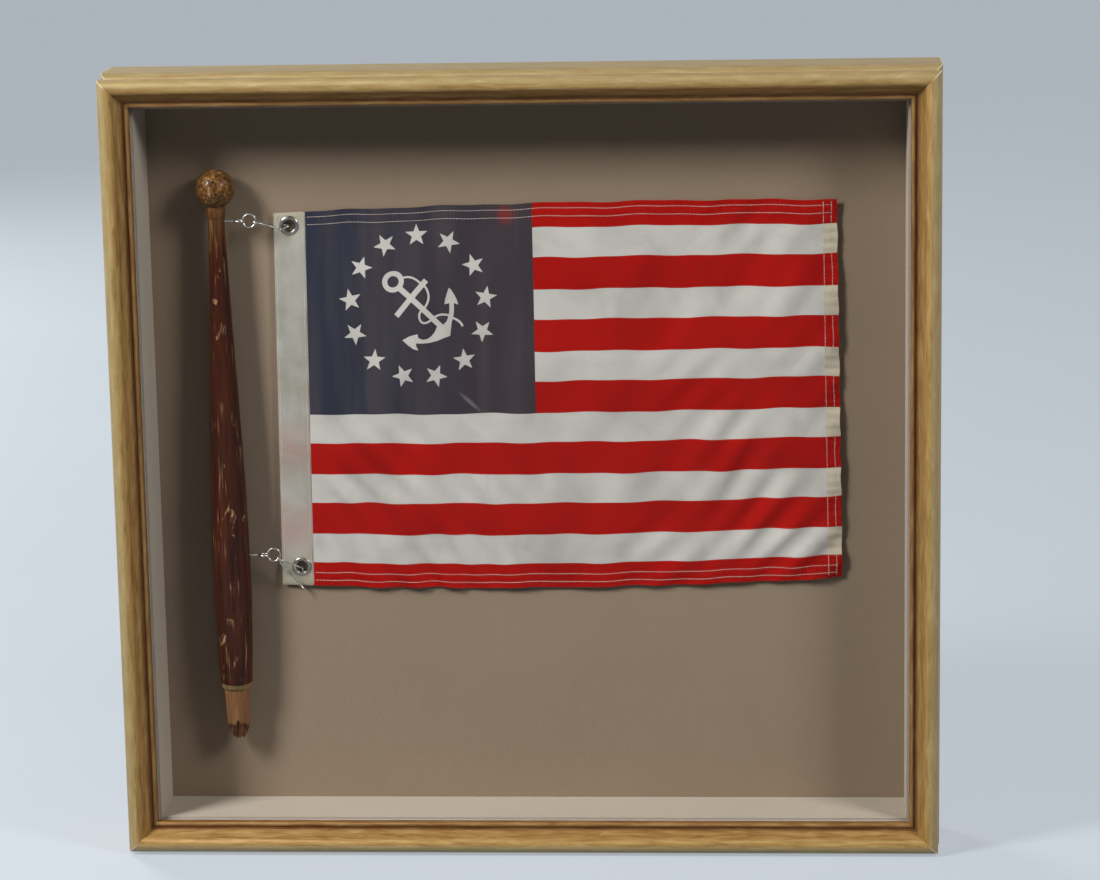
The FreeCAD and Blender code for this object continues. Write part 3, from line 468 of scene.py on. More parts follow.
def navy_wear(look, tone):
    """Fading towards the fly, streaks, a red stain and a pale scuff on the canton."""
    panel = look.noise(1.0, 2, 0.5, look.stretch(62, 62, 5))
    faded = look.mix(look.span(look.axis(0), -0.16, -0.02), srgb(44, 50, 66), srgb(70, 56, 58))
    tone = look.mix(0.62, tone, faded)
    streaks = look.math("MULTIPLY", look.span(panel, 0.45, 0.65), 0.45)
    tone = look.mix(streaks, tone, srgb(80, 72, 76))
    spot = look.add("ShaderNodeVectorMath", look.place, RED_SPOT, operation="DISTANCE").outputs["Value"]
    stain = look.math("MULTIPLY", look.span(spot, 0.0095, 0.002), 0.6)
    tone = look.mix(stain, tone, srgb(150, 40, 32))
    place = look.add("ShaderNodeMapping", look.place, SCUFF_PLACE, SCUFF_TURN, SCUFF_SIZE,
                     vector_type="TEXTURE").outputs[0]
    length = look.add("ShaderNodeVectorMath", place, operation="LENGTH").outputs["Value"]
    scuff = look.math("MULTIPLY", look.span(length, 1.0, 0.3), 0.4)
    return look.mix(scuff, tone, srgb(150, 144, 142))


def cloth_looks():
    """Printed bunting in red, white and faded navy, and the cream tape of the fly hem."""
    looks = []
    for name, tones in (
            ("bunting_red", (srgb(154, 9, 3), srgb(168, 12, 4), srgb(178, 19, 8))),
            ("bunting_white", (srgb(182, 180, 174), srgb(200, 198, 192), srgb(208, 206, 200))),
            ("bunting_navy", (srgb(46, 48, 60), srgb(54, 56, 68), srgb(62, 60, 68))),
            ("bunting_hem_cream", (srgb(188, 178, 154), srgb(204, 196, 174), srgb(212, 206, 188)))):
        look = Look(name, Roughness=0.9, Specular_IOR_Level=0.1)
        broad = look.noise(21, 5, 0.6, twist=0.5)
        tone = look.ramp(broad, (0.3, tones[0]), (0.52, tones[1]), (0.75, tones[2]))
        slub = look.noise(1.0, 2, 0.5, look.stretch(120, 120, 2200))
        if name == "bunting_navy":
            tone = navy_wear(look, tone)
        weave = look.weave(BUNTING_THREAD)
        tone = look.mix(look.math("MULTIPLY", weave, 0.1), tone, srgb(20, 14, 12), "MULTIPLY")
        look.colour(tone)
        look.rough(broad, 0.84, 0.95)
        look.bump(look.math("ADD", weave, look.math("MULTIPLY", slub, 0.3)), 0.0001, 0.5)
        looks.append(look)
    return looks


def make_flag():
    """The bunting: a canton cut round its stars and anchor, and stripes that share its edges."""
    columns = steps(HOIST, CANTON_RIGHT, 2.2)
    columns += steps(CANTON_RIGHT, FLY_HEM, 2.3)[1:] + steps(FLY_HEM, FLY, 1.5)[1:]
    rows = [0.0]
    for top, foot in zip(STRIPES, STRIPES[1:]):
        rows += steps(top, foot, 2.1)[1:]
    outlines = STARS + ANCHOR + [EYE_OUTER, EYE_INNER]
    canton = grid([x for x in columns if x <= CANTON_RIGHT], [a for a in rows if a <= CANTON_FOOT])
    flat, triangles = triangulate(canton, outlines, 0.75)
    middles = flat[triangles].mean(1)
    light = inside(middles, EYE_OUTER) & ~inside(middles, EYE_INNER)
    for outline in STARS + ANCHOR:
        light |= inside(middles, outline) & ~inside(middles, EYE_INNER)
    marks = [WHITE if lit else BLUE for lit in light]
    known = {(round(x, 3), round(a, 3)): i for i, (x, a) in enumerate(flat)}
    flat, triangles = [tuple(p) for p in flat], [tuple(t) for t in triangles]

    def corner(x, a):
        key = (round(float(x), 3), round(float(a), 3))
        if key not in known:
            known[key] = len(flat)
            flat.append((float(x), float(a)))
        return known[key]

    for top, foot in zip(rows, rows[1:]):
        stripe = max(i for i, edge in enumerate(STRIPES) if edge <= top + 0.01)
        for left, right in zip(columns, columns[1:]):
            if right <= CANTON_RIGHT + 0.01 and foot <= CANTON_FOOT + 0.01:
                continue
            ring = corner(left, top), corner(right, top), corner(right, foot), corner(left, foot)
            triangles += [(ring[0], ring[1], ring[2]), (ring[0], ring[2], ring[3])]
            tone = RED if stripe % 2 == 0 else (CREAM if left >= FLY_HEM - 0.01 else WHITE)
            marks += [tone, tone]
    return shell("flag_bunting", np.array(flat), np.array(triangles), flag_place, cloth_front, cloth_back,
                 cloth_looks(), marks)


def canvas_look():
    """Off-white duck with run dye in two places, yellowed ends and grey handling marks."""
    look = Look("heading_duck", Roughness=0.9, Specular_IOR_Level=0.2)
    broad = look.noise(26, 4, 0.6, twist=0.4)
    tone = look.ramp(broad, (0.32, srgb(152, 149, 138)), (0.5, srgb(169, 168, 160)),
                     (0.7, srgb(181, 181, 174)))
    blots = look.span(look.noise(44, 3, 0.5), 0.2, 0.62)
    zones = look.ramp(look.span(look.axis(2), 0.225, 0.355), (0.0, 0.0), (0.25, 0.9), (0.5, 0.05),
                      (0.78, 0.8), (1.0, 0.0))
    dye = look.math("MULTIPLY", look.math("MULTIPLY", blots, zones), 0.55)
    tone = look.mix(dye, tone, srgb(196, 140, 138))
    ends = look.ramp(look.span(look.axis(2), 0.205, 0.535), (0.0, 0.8), (0.12, 0.1), (0.86, 0.05), (1.0, 0.7))
    tone = look.mix(look.math("MULTIPLY", ends, 0.6), tone, srgb(199, 184, 138))
    grey = look.span(look.noise(60, 4, 0.6, look.stretch(2.4, 1, 1)), 0.56, 0.72)
    tone = look.mix(look.math("MULTIPLY", grey, 0.3), tone, srgb(134, 136, 146))
    weave = look.weave(CANVAS_THREAD)
    tone = look.mix(look.math("MULTIPLY", weave, 0.18), tone, srgb(90, 80, 64), "MULTIPLY")
    look.colour(tone)
    look.rough(broad, 0.84, 0.95)
    look.bump(weave, 0.0002, 0.6)
    return look


def make_heading():
    """The canvas heading, with a hole for each eyelet."""
    points = grid(steps(HEADING_LEFT, HEADING_RIGHT, 1.05), steps(0, DROP, 2.1))
    holes = [circle(x, a, 5.2, 28) for x, a in GROMMETS]
    flat, triangles = triangulate(points, holes, 0.6)
    middles = flat[triangles].mean(1)
    solid = ~(inside(middles, holes[0]) | inside(middles, holes[1]))
    triangles = triangles[solid]
    return shell("flag_heading_band", flat, triangles, flag_place, heading_front, heading_back,
                 [canvas_look()], [0] * len(triangles))


def stitch_lines():
    """Start, end and surface of every stitched line of the flag."""
    lines = []
    for depth in STITCH_ROWS:
        for a in (depth, DROP - depth):
            lines.append(((HEADING_RIGHT + 1, a), (FLY - 1.5, a), cloth_front))
        lines.append(((FLY - depth, 1.5), (FLY - depth, DROP - 1.5), cloth_front))
    for x in (HEADING_RIGHT - SEAM_RIGHT, HEADING_LEFT + SEAM_LEFT):
        lines.append(((x, 2), (x, DROP - 2), heading_front))
    return lines


def make_stitches():
    """Lockstitch thread: one slim rounded loop after another along each line."""
    pitch, length, radius, sides = 2.9, 2.35, 0.26, 6
    shares = ((-0.5, 0.25), (-0.38, 0.9), (0.0, 1.0), (0.38, 0.9), (0.5, 0.25))
    out = np.array((0.0, -1.0, 0.0))
    verts, faces = [], []
    dice = random.Random(7)
    for start, end, height in stitch_lines():
        start, end = np.array(start), np.array(end)
        span = np.linalg.norm(end - start)
        way = (end - start) / span
        for k in range(int(span // pitch)):
            centre = start + way * pitch * (k + 0.5)
            slant = np.array((-way[1], way[0])) * dice.uniform(-0.12, 0.12)
            rings = []
            for share, fat in shares:
                flat = centre + (way + slant) * length * share
                x, z = flag_place(flat[:1], flat[1:])
                y = MAT_FRONT - height(flat[:1], flat[1:])[0] + 0.05 - 0.12 * (1 - 4 * share * share)
                rings.append((np.array((x[0], y, z[0])), radius * fat))
            first = len(verts)
            along = rings[-1][0] - rings[0][0]
            along /= np.linalg.norm(along)
            side = np.cross(along, out)
            for place, fat in rings:
                for i in range(sides):
                    angle = TURN * i / sides
                    verts.append(place + (side * math.cos(angle) + out * math.sin(angle)) * fat)
            faces += [tuple(first + i for i in face) for face in tube(len(rings), sides)]
            faces.append(tuple(first + i for i in reversed(range(sides))))
            faces.append(tuple(first + (len(rings) - 1) * sides + i for i in range(sides)))
    look = Look("hem_thread", Roughness=0.7, Sheen_Weight=0.2)
    tone = look.noise(160, 2)
    look.colour(look.ramp(tone, (0.35, srgb(196, 172, 160)), (0.6, srgb(212, 200, 190))))
    look.bump(look.noise(5200, 1, 0.4, look.stretch(1, 1, 0.4)), 0.0001, 0.4)
    return new_piece("hem_stitches", verts, faces, [look], sharp=None)


# the staff: depth below its top and radius of the shaft, then of its foot
STAFF_TOP, STAFF_AXIS_Y = 557.4, -1.8
STAFF_X, STAFF_MIDDLE = -246.5, 318.9
STAFF_LEAN = math.tan(math.radians(0.42))
BALL, COLLAR = 15.8, 7.3
SHAFT = ((40.6, 6.8), (66, 7.45), (92.6, 8.2), (142.6, 9.9), (187, 11.75), (232.6, 13.4), (280, 14.75),
         (325.6, 15.5), (353, 15.45), (380.6, 14.8), (404, 14.05), (425.6, 13.1))
SHOULDER, TENON, SPLIT, STAFF_END = 426.4, 430.6, 448, 474.4
STAFF_SIDES, RING_PITCH = 56, 2.6
BREAK_EDGE, BREAK_TIP, BREAK_HEART = 461.0, 472.4, 466.5


def staff_point(down, radius, angle):
    """A point on a ring of the leaning staff, with angle 0 to the front."""
    z = STAFF_TOP - down
    x = STAFF_X + STAFF_LEAN * (STAFF_MIDDLE - z)
    return x + radius * math.sin(angle), STAFF_AXIS_Y - radius * math.cos(angle), z


def varnish_look():
    """Worn red-brown varnish: darker bands, long pale scratches and rubbed spots down to the wood."""
    look = Look("staff_varnish", Specular_IOR_Level=0.1, Coat_Weight=0.12, Coat_Roughness=0.12)
    grain = look.noise(1.0, 4, 0.6, look.stretch(330, 330, 14), 0.6)
    tone = look.ramp(grain, (0.28, srgb(28, 9, 2)), (0.5, srgb(58, 21, 4)), (0.74, srgb(84, 35, 9)))
    high = look.span(look.axis(2), 0.488, 0.522)
    golden = look.ramp(grain, (0.3, srgb(56, 32, 11)), (0.55, srgb(98, 64, 28)), (0.8, srgb(132, 94, 50)))
    tone = look.mix(high, tone, golden)
    burr = look.noise(210, 4, 0.7, twist=0.6)
    knob = look.ramp(burr, (0.34, srgb(40, 22, 8)), (0.5, srgb(98, 64, 28)), (0.68, srgb(150, 112, 66)))
    tone = look.mix(look.span(look.axis(2), 0.522, 0.53), tone, knob)
    rub = look.noise(1.0, 5, 0.7, look.stretch(120, 120, 42), 0.8)
    worn = look.span(rub, 0.62, 0.68)
    lines = look.noise(1.0, 2, 0.5, look.stretch(620, 620, 24), 0.3)
    marks = look.math("MULTIPLY", look.span(lines, 0.63, 0.69), look.span(look.noise(22, 2), 0.42, 0.6))
    bare = look.math("MULTIPLY", look.math("MAXIMUM", worn, marks), 0.82)
    tone = look.mix(bare, tone, look.ramp(grain, (0.3, srgb(164, 118, 76)), (0.7, srgb(206, 170, 126))))
    nicks = look.span(look.noise(150, 3, 0.6), 0.66, 0.72)
    tone = look.mix(look.math("MULTIPLY", nicks, 0.6), tone, srgb(34, 18, 10))
    look.colour(tone)
    node = look.add("ShaderNodeMapRange", bare, 0.0, 1.0, 0.32, 0.7)
    look.put(look.shader.inputs["Roughness"], node.outputs[0])
    look.bump(look.math("SUBTRACT", look.math("MULTIPLY", grain, 0.4), bare), 0.0004, 0.6)
    return look


def bare_wood_look(name, dark, mid, pale):
    """Unfinished wood with a long grain and some dirt."""
    look = Look(name, Roughness=0.78, Specular_IOR_Level=0.2)
    grain = look.noise(1.0, 5, 0.65, look.stretch(520, 520, 26), 0.7)
    tone = look.ramp(grain, (0.3, dark), (0.5, mid), (0.72, pale))
    dirt = look.span(look.noise(70, 3), 0.5, 0.75)
    look.colour(look.mix(look.math("MULTIPLY", dirt, 0.4), tone, dark))
    look.rough(grain, 0.68, 0.88)
    look.bump(grain, 0.0005, 0.6)
    return look


def staff_profile():
    """Depth and radius of each ring down to the split, and how many rings are above the tenon."""
    profile = []
    turn = 0.04
    while turn < math.pi - math.asin(COLLAR / BALL) - 0.03:
        profile.append((BALL * (1 - math.cos(turn)), BALL * math.sin(turn)))
        turn += 0.1
    neck = BALL + math.sqrt(BALL ** 2 - COLLAR ** 2)
    profile += [(neck, COLLAR), (neck + 1.2, COLLAR + 0.35), (neck + 4.6, COLLAR + 0.5),
                (neck + 8.0, COLLAR + 0.2), (39.4, COLLAR), (40.0, 6.75)]
    downs, radii = zip(*SHAFT)
    marks = list(zip(downs, radii, np.gradient(radii, downs)))
    for (d0, r0, s0), (d1, r1, s1) in zip(marks, marks[1:]):
        length = d1 - d0
        for t in np.arange(0, 1, RING_PITCH / length):
            radius = (2 * t ** 3 - 3 * t ** 2 + 1) * r0 + (t ** 3 - 2 * t ** 2 + t) * length * s0
            radius += (3 * t ** 2 - 2 * t ** 3) * r1 + (t ** 3 - t ** 2) * length * s1
            profile.append((d0 + length * t, radius))
    profile += [(425.6, 13.1), (426.0, 12.6), (SHOULDER, 12.1), (428.4, 12.15), (430.2, 11.9), (TENON, 10.9)]
    body_rows = len(profile)
    profile += [(431.0, 10.4)] + [(d, 10.4 - 1.6 * (d - 431) / 31) for d in np.arange(433, SPLIT, 1.7)]
    return profile, body_rows


def grit(angle, spread, height):
    """Noise round the staff that closes after a full turn."""
    return noise.noise(Vector((math.sin(angle) * spread, math.cos(angle) * spread, height)))


def break_edge(angle):
    """Depth of the broken rim: lower behind, ragged, with one notch in front."""
    front = angle if angle < math.pi else angle - TURN
    notch = 4.5 * math.exp(-(((front - 0.12) / 0.16) ** 2))
    rear = ease(-math.cos(angle), -0.25, 0.55)
    ragged = 2.0 * grit(angle, 3.1, 2.0) + 1.6 * grit(angle, 9, 9.0)
    return min(STAFF_END, BREAK_EDGE + 8.4 * rear + ragged - notch)


def make_staff():
    """The turned staff, from its ball down to the snapped tenon."""
    profile, body_rows = staff_profile()
    turns = [TURN * i / STAFF_SIDES for i in range(STAFF_SIDES)]
    verts = []
    for row, (down, radius) in enumerate(profile):
        for angle in turns:
            if row >= body_rows:
                dent = 0.42 * grit(angle, 5, down * 0.05)
            elif 60 < down < 420:
                dent = 0.16 * grit(angle, 3.74, down * 0.0595)
            else:
                dent = 0.05 * grit(angle, 8.8, down * 0.14)
            verts.append(staff_point(down, radius + dent, angle))
    ends = [break_edge(angle) for angle in turns]
    for share in (0.2, 0.4, 0.6, 0.8, 1.0):
        for angle, end in zip(turns, ends):
            down = SPLIT + (end - SPLIT) * share
            radius = 9.5 - 0.6 * share - 1.6 * max(0.0, down - BREAK_EDGE) / 13
            verts.append(staff_point(down, radius + 0.4 * grit(angle, 6, down * 0.06), angle))
    cap_rows = len(verts) // STAFF_SIDES
    for share, fat in ((0.1, 0.9), (0.3, 0.8), (0.55, 0.72), (0.8, 0.62), (1.0, 0.5), (0.75, 0.3)):
        for angle, end in zip(turns, ends):
            ragged = 3.6 * grit(angle, 2.6, 3.0) + 3.4 * grit(angle, 7, 5.0 + fat)
            down = end + (BREAK_TIP - end) * share ** 0.8 + ragged * (0.25 + 0.75 * share)
            split = 1 + 0.3 * grit(angle, 6, 8.0 + share)
            verts.append(staff_point(min(down, STAFF_END), 8.4 * fat * split, angle))
    rows = len(verts) // STAFF_SIDES
    varnish, shoulder, tenon, fracture = range(4)
    marks = []
    for row in range(rows - 1):
        if row >= cap_rows - 1:
            mark = fracture
        elif profile[min(row, len(profile) - 1)][0] < SHOULDER - 0.5:
            mark = varnish
        else:
            mark = shoulder if row < body_rows - 1 else tenon
        marks += [mark] * STAFF_SIDES
    faces = [(a, d, c, b) for a, b, c, d in tube(rows, STAFF_SIDES)]
    faces.append(tuple(range(STAFF_SIDES)))
    marks.append(varnish)
    verts.append(staff_point(BREAK_HEART, 0.0, 0.0))
    last = (rows - 1) * STAFF_SIDES
    for i in range(STAFF_SIDES):
        faces.append((last + i, rows * STAFF_SIDES, last + (i + 1) % STAFF_SIDES))
        marks.append(fracture)
    looks = [varnish_look(),
             bare_wood_look("staff_shoulder", srgb(84, 66, 38), srgb(122, 100, 62), srgb(148, 126, 86)),
             bare_wood_look("staff_bare_wood", srgb(104, 69, 40), srgb(132, 91, 57), srgb(153, 113, 77)),
             bare_wood_look("staff_fracture", srgb(54, 30, 17), srgb(94, 58, 35), srgb(136, 92, 58))]
    return new_piece("staff_turned", verts, faces, looks, marks, sharp=50)


RAIL_WIDTH = 0.0256
REAR_LAND = (0.0241, 0.0244)


def gilt_look(name, along, across, sign, start, centre, half):
    """Toned gold leaf: a pale roll, a streaked scoop, red-brown bole on the lip with painted shade in the scoop
    and the groove beside it, bare wood behind.
    """
    look = Look(name)
    scale = [330.0, 330.0, 330.0]
    scale[along] = 38.0
    streak = look.noise(1.0, 5, 0.65, look.stretch(*scale), 0.5)
    scale = [1500.0, 1500.0, 1500.0]
    scale[along] = 90.0
    grain = look.noise(1.0, 2, 0.5, look.stretch(*scale))
    blotch = look.noise(46, 4, 0.6, twist=0.8)
    inward = look.math("ADD", look.math("MULTIPLY", look.axis(across), sign), start)
    roll = look.ramp(streak, (0.28, srgb(150, 129, 84)), (0.5, srgb(162, 141, 96)), (0.76, srgb(180, 161, 118)))
    scoop = look.ramp(streak, (0.28, srgb(130, 94, 44)), (0.5, srgb(166, 132, 74)), (0.76, srgb(190, 160, 104)))
    tone = look.mix(look.span(inward, 0.0078, 0.0104), roll, scoop)
    patches = look.math("MULTIPLY", look.span(blotch, 0.48, 0.7), 0.25)
    tone = look.mix(patches, tone, srgb(152, 120, 70))
    # painted shade: the recess mask darkens the scoop, the groove beside the lip and a little of the outer edge
    # towards brown; on the lip itself it is the red-brown bole
    recess = look.ramp(look.span(inward, 0.0, RAIL_WIDTH), (0.0, 0.1), (0.18, 0.0), (0.4, 0.0), (0.5, 0.08),
                       (0.7, 0.24), (0.79, 0.92), (0.86, 0.8), (0.93, 0.6), (1.0, 0.75))
    recess = look.math("MULTIPLY", recess, look.span(look.axis(1), -0.005, -0.03))
    streaked_bole_and_shade = look.math("MULTIPLY", recess, look.span(streak, 0.7, 0.34))
    shade = look.math("ADD", look.math("MULTIPLY", recess, 0.62), look.math("MULTIPLY", streaked_bole_and_shade, 0.38))
    # one brown for both: painted shade in the scoop and groove, and the bole on the lip
    tone = look.mix(shade, tone, srgb(100, 52, 14))
    speck = look.math("MULTIPLY", look.span(look.noise(620, 2, 0.5), 0.68, 0.75), 0.4)
    tone = look.mix(speck, tone, srgb(104, 66, 30))
    edge = look.math("ABSOLUTE", look.math("SUBTRACT", look.axis(along), centre))
    seam = look.math("ABSOLUTE", look.math("SUBTRACT", look.math("SUBTRACT", half, edge), inward))
    worn = look.math("MULTIPLY", look.span(seam, 0.0008, 0.0002), look.span(inward, 0.0105, 0.006))
    tone = look.mix(look.math("MULTIPLY", worn, 0.75), tone, srgb(230, 219, 196))
    wood = look.ramp(grain, (0.3, srgb(150, 112, 72)), (0.55, srgb(184, 148, 104)), (0.75, srgb(202, 170, 128)))
    look.colour(look.mix(look.span(look.axis(1), *REAR_LAND), tone, wood))
    gilded = look.span(look.axis(1), *reversed(REAR_LAND))
    look.put(look.shader.inputs["Metallic"], look.math("MULTIPLY", gilded, 0.34))
    dull = look.math("ADD", look.math("MULTIPLY", streak, 0.6), look.math("MULTIPLY", recess, 0.4))
    look.rough(dull, 0.4, 0.56)
    relief = look.math("ADD", look.math("MULTIPLY", streak, 0.7), look.math("MULTIPLY", grain, 0.3))
    look.bump(relief, 0.0002, 0.4)
    return look


def board_look(name, dark, mid, pale, fibre, depth, rough):
    """Paper-faced or pressed board with a short fibre."""
    look = Look(name, Roughness=rough, Specular_IOR_Level=0.12)
    broad = look.noise(9, 3, 0.55)
    fine = look.noise(fibre, 3, 0.6)
    cross = look.noise(1.0, 2, 0.5, look.stretch(fibre * 0.25, fibre, fibre * 1.6))
    tone = look.ramp(fine, (0.3, dark), (0.52, mid), (0.74, pale))
    look.colour(look.mix(look.math("MULTIPLY", look.span(broad, 0.35, 0.75), 0.35), tone, dark))
    look.rough(fine, rough - 0.06, min(0.98, rough + 0.05))
    look.bump(look.math("ADD", fine, cross), depth, 0.5)
    return look


def metal_look(name, dark, pale, smooth, dull):
    """Plain metal with cloudy tarnish and fine rubs."""
    look = Look(name, Metallic=1.0)
    cloud = look.noise(180, 3, 0.6)
    rubs = look.noise(1.0, 2, 0.5, look.stretch(2400, 500, 500))
    look.colour(look.ramp(cloud, (0.3, dark), (0.65, pale)))
    wear = look.math("ADD", look.math("MULTIPLY", cloud, 0.6), look.math("MULTIPLY", rubs, 0.4))
    look.rough(wear, smooth, dull)
    look.bump(rubs, 0.00006, 0.4)
    return look


# finishes of the case and of the carried-over metal pieces
rail_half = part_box("right_rail")[1].x
rail_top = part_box("top_rail")[1].z
for rail, along, across, sign, start, centre, half in (
        ("top", 0, 2, -1.0, rail_top, 0.0, rail_half),
        ("bottom", 0, 2, 1.0, 0.0, 0.0, rail_half),
        ("left", 2, 0, 1.0, rail_half, rail_top / 2, rail_top / 2),
        ("right", 2, 0, -1.0, rail_half, rail_top / 2, rail_top / 2)):
    dress(gilt_look(f"gilt_{rail}", along, across, sign, start, centre, half), f"{rail}_rail")
for board, dark, mid, pale, fibre, depth, rough, names in (
        ("backing_suede", (140, 122, 103), (151, 133, 113), (158, 140, 120), 2100, 0.00006, 0.93,
         ("backing_mat",)),
        ("liner_paper", (176, 166, 151), (187, 177, 163), (194, 185, 172), 1500, 0.00006, 0.9,
         ("top_liner", "bottom_liner", "left_liner", "right_liner")),
        ("foam_core", (206, 204, 198), (224, 222, 216), (232, 230, 226), 1300, 0.0001, 0.9,
         ("top_spacer", "bottom_spacer", "left_spacer", "right_spacer", "backing_board")),
        ("pressed_board", (102, 70, 44), (134, 97, 64), (158, 121, 86), 1100, 0.0002, 0.7, ("rear_panel",))):
    dress(board_look(board, srgb(*dark), srgb(*mid), srgb(*pale), fibre, depth, rough), *names)
brass = metal_look("plated_brass", srgb(150, 116, 58), srgb(200, 164, 96), 0.26, 0.46)
nickel = metal_look("nickel_steel", srgb(150, 148, 142), srgb(196, 194, 188), 0.24, 0.44)
wire = metal_look("bright_wire", srgb(158, 156, 152), srgb(212, 210, 206), 0.16, 0.34)
eyelet = metal_look("eyelet_nickel", srgb(126, 121, 114), srgb(178, 173, 166), 0.16, 0.36)
dress(brass, *[name for name in nodes if name.startswith("turn_button_") and name != "turn_button_screws"])
dress(nickel, "corner_v_nails", "left_hanger_strap", "right_hanger_strap", "left_d_ring", "right_d_ring")
dress(wire, "upper_ring", "lower_ring", "upper_snap", "lower_snap", "upper_screw_eye", "lower_screw_eye")
dress(eyelet, "upper_grommet", "lower_grommet")
dress(Look("case_pane", Base_Color=srgb(10, 12, 12), Roughness=0.03, IOR=1.5, Alpha=0.06), "glass_pane")
dress(Look("clear_acrylic", Base_Color=srgb(214, 220, 220), Roughness=0.08, IOR=1.49, Alpha=0.3),
      "upper_cradle", "lower_cradle")


def cross(reach, wide):
    """The outline of a cross recess."""
    arm = [(reach, wide), (wide, wide), (wide, reach)]
    return np.array(arm + [(-x, z) for x, z in reversed(arm)] + [(-x, -z) for x, z in arm]
                    + [(x, -z) for x, z in reversed(arm)])


def make_screws(name, node, spots, radius, under, top, look, body):
    """Domed screw heads with a tapered cross recess, each on a short plain shank."""
    arm, half, taper = radius * 0.62, radius * 0.16, radius * 0.09
    verts, faces = [], []
    rings = [circle(0, 0, radius * share, 32) for share in (1.0, 0.97, 0.86, 0.72)]
    mouth, floor = cross(arm, half), cross(arm - taper * 2, half - taper)
    square = radius * 1.3
    corners = [(-square, -square), (square, -square), (square, square), (-square, square)]
    points, triangles = triangulate(corners, rings + [mouth, floor], 0.0)
    triangles = triangles[inside(points[triangles].mean(1), rings[0])]
    rim = [i for i, p in enumerate(points) if abs(math.hypot(*p) - radius) < 1e-3]
    rim.sort(key=lambda i: math.atan2(points[i][1], points[i][0]))
    for x, z in spots:
        first = len(verts)
        for u, v in points:
            away = math.hypot(u, v) / radius
            rise = 0.25 if away > 0.99 else 0.55 + 0.45 * math.sqrt(max(0.0, 1 - away ** 2))
            if gap_to(np.array([(u, v)]), floor)[0] < 1e-4:
                rise = 0.3
            verts.append((x + u, under + (top - under) * rise, z + v))
        for t in triangles:
            a, b, c = points[t]
            turned = (b[0] - a[0]) * (c[1] - a[1]) - (c[0] - a[0]) * (b[1] - a[1]) > 0
            faces.append(tuple(first + int(i) for i in (reversed(t) if turned else t)))
        loops = [[first + i for i in rim]]
        for share, depth in ((1.0, under), (0.48, under), (0.48, under - 6.0), (0.1, under - 8.0)):
            loops.append(list(range(len(verts), len(verts) + len(rim))))
            verts += [(x + points[i][0] * share, depth, z + points[i][1] * share) for i in rim]
        for upper, lower in zip(loops, loops[1:]):
            for i in range(len(rim)):
                j = (i + 1) % len(rim)
                faces.append((upper[i], upper[j], lower[j], lower[i]))
        faces.append(tuple(loops[-1]))
    piece = new_piece(name, verts, faces, [look], body=body, sharp=30)
    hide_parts(node)
    return piece


def head_spots(node):
    """Centres of the screw heads of one CAD node, found from its loose parts."""
    mesh = nodes[node].data
    parent = list(range(len(mesh.vertices)))

    def root(i):
        while parent[i] != i:
            parent[i] = parent[parent[i]]
            i = parent[i]
        return i

    merged = {}
    for v in mesh.vertices:
        key = tuple(round(c, 6) for c in v.co)
        parent[v.index] = merged.setdefault(key, v.index)
    for edge in mesh.edges:
        a, b = root(edge.vertices[0]), root(edge.vertices[1])
        parent[a] = b
    parts = {}
    for v in mesh.vertices:
        parts.setdefault(root(v.index), []).append(v.co)
    spots = []
    for places in parts.values():
        xs, zs = [p.x for p in places], [p.z for p in places]
        spots.append(((min(xs) + max(xs)) / 2 / MM, (min(zs) + max(zs)) / 2 / MM))
    return sorted(spots)


for node, piece_name, radius, height, look, body in (
        ("turn_button_screws", "turn_button_screw_heads", 3.8, 1.8, brass, "case"),
        ("hanger_screws", "hanger_screw_heads", 3.2, 1.6, nickel, "case"),
        ("cradle_screws", "cradle_screw_heads", 3.0, 1.6, nickel, "tray")):
    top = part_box(node)[1].y / MM
    piece = make_screws(piece_name, node, head_spots(node), radius, top - height, top, look, body)


def make_bumper(side):
    """A felt foot with a rounded, slightly fuzzy edge."""
    low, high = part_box(f"{side}_bumper")
    centre, radius = (low + high) / 2 / MM, (high.x - low.x) / 2 / MM
    back, front = low.y / MM, high.y / MM
    profile = [(0.0, 1.0), (0.6, 1.0), (0.85, 0.985), (0.94, 0.95), (0.985, 0.86), (1.0, 0.7), (0.99, 0.4),
               (1.0, 0.15), (0.985, 0.0), (0.0, 0.0)]
    sides, verts = 48, []
    for share, rise in profile:
        for i in range(sides):
            u, v = math.cos(TURN * i / sides), math.sin(TURN * i / sides)
            fuzz = 0.09 * noise.noise(Vector((u * 9, v * 9, rise * 9 + centre.x)))
            reach = radius * share - (abs(fuzz) if share > 0.5 else 0)
            verts.append((centre.x + reach * u, back + (front - back) * rise, centre.z + reach * v))
    faces = tube(len(profile), sides)
    look = Look(f"felt_{side}", Roughness=0.95, Sheen_Weight=0.3)
    nap = look.noise(1500, 3, 0.7)
    look.colour(look.ramp(nap, (0.3, srgb(38, 34, 30)), (0.7, srgb(66, 60, 54))))
    look.bump(nap, 0.0004, 0.8)
    piece = new_piece(f"{side}_felt_foot", verts, faces, [look], body="case", sharp=60)
    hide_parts(f"{side}_bumper")


make_bumper("left")
make_bumper("right")

flag = make_flag()
heading = make_heading()
stitches = make_stitches()
staff = make_staff()
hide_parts("flag_cloth")
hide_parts("flag_heading")
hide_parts("staff")


FLOOR_REACH, FLOOR_GLOW = 40.0, 0.68
SKY_LIGHT, SKY_SEEN = 0.03, 0.36
LAMPS = (("key", (-1.75, -1.36, 1.9), 0.6, 92), ("fill", (1.8, -1.36, 1.9), 0.6, 46),
         ("rear", (-2.4, 2.9, 1.6), 1.2, 103))
LAMP_AIM, LAMP_TALL, LAMP_COLOUR = Vector((0, 0, 0.3)), 1.55, (1.0, 0.985, 0.965)


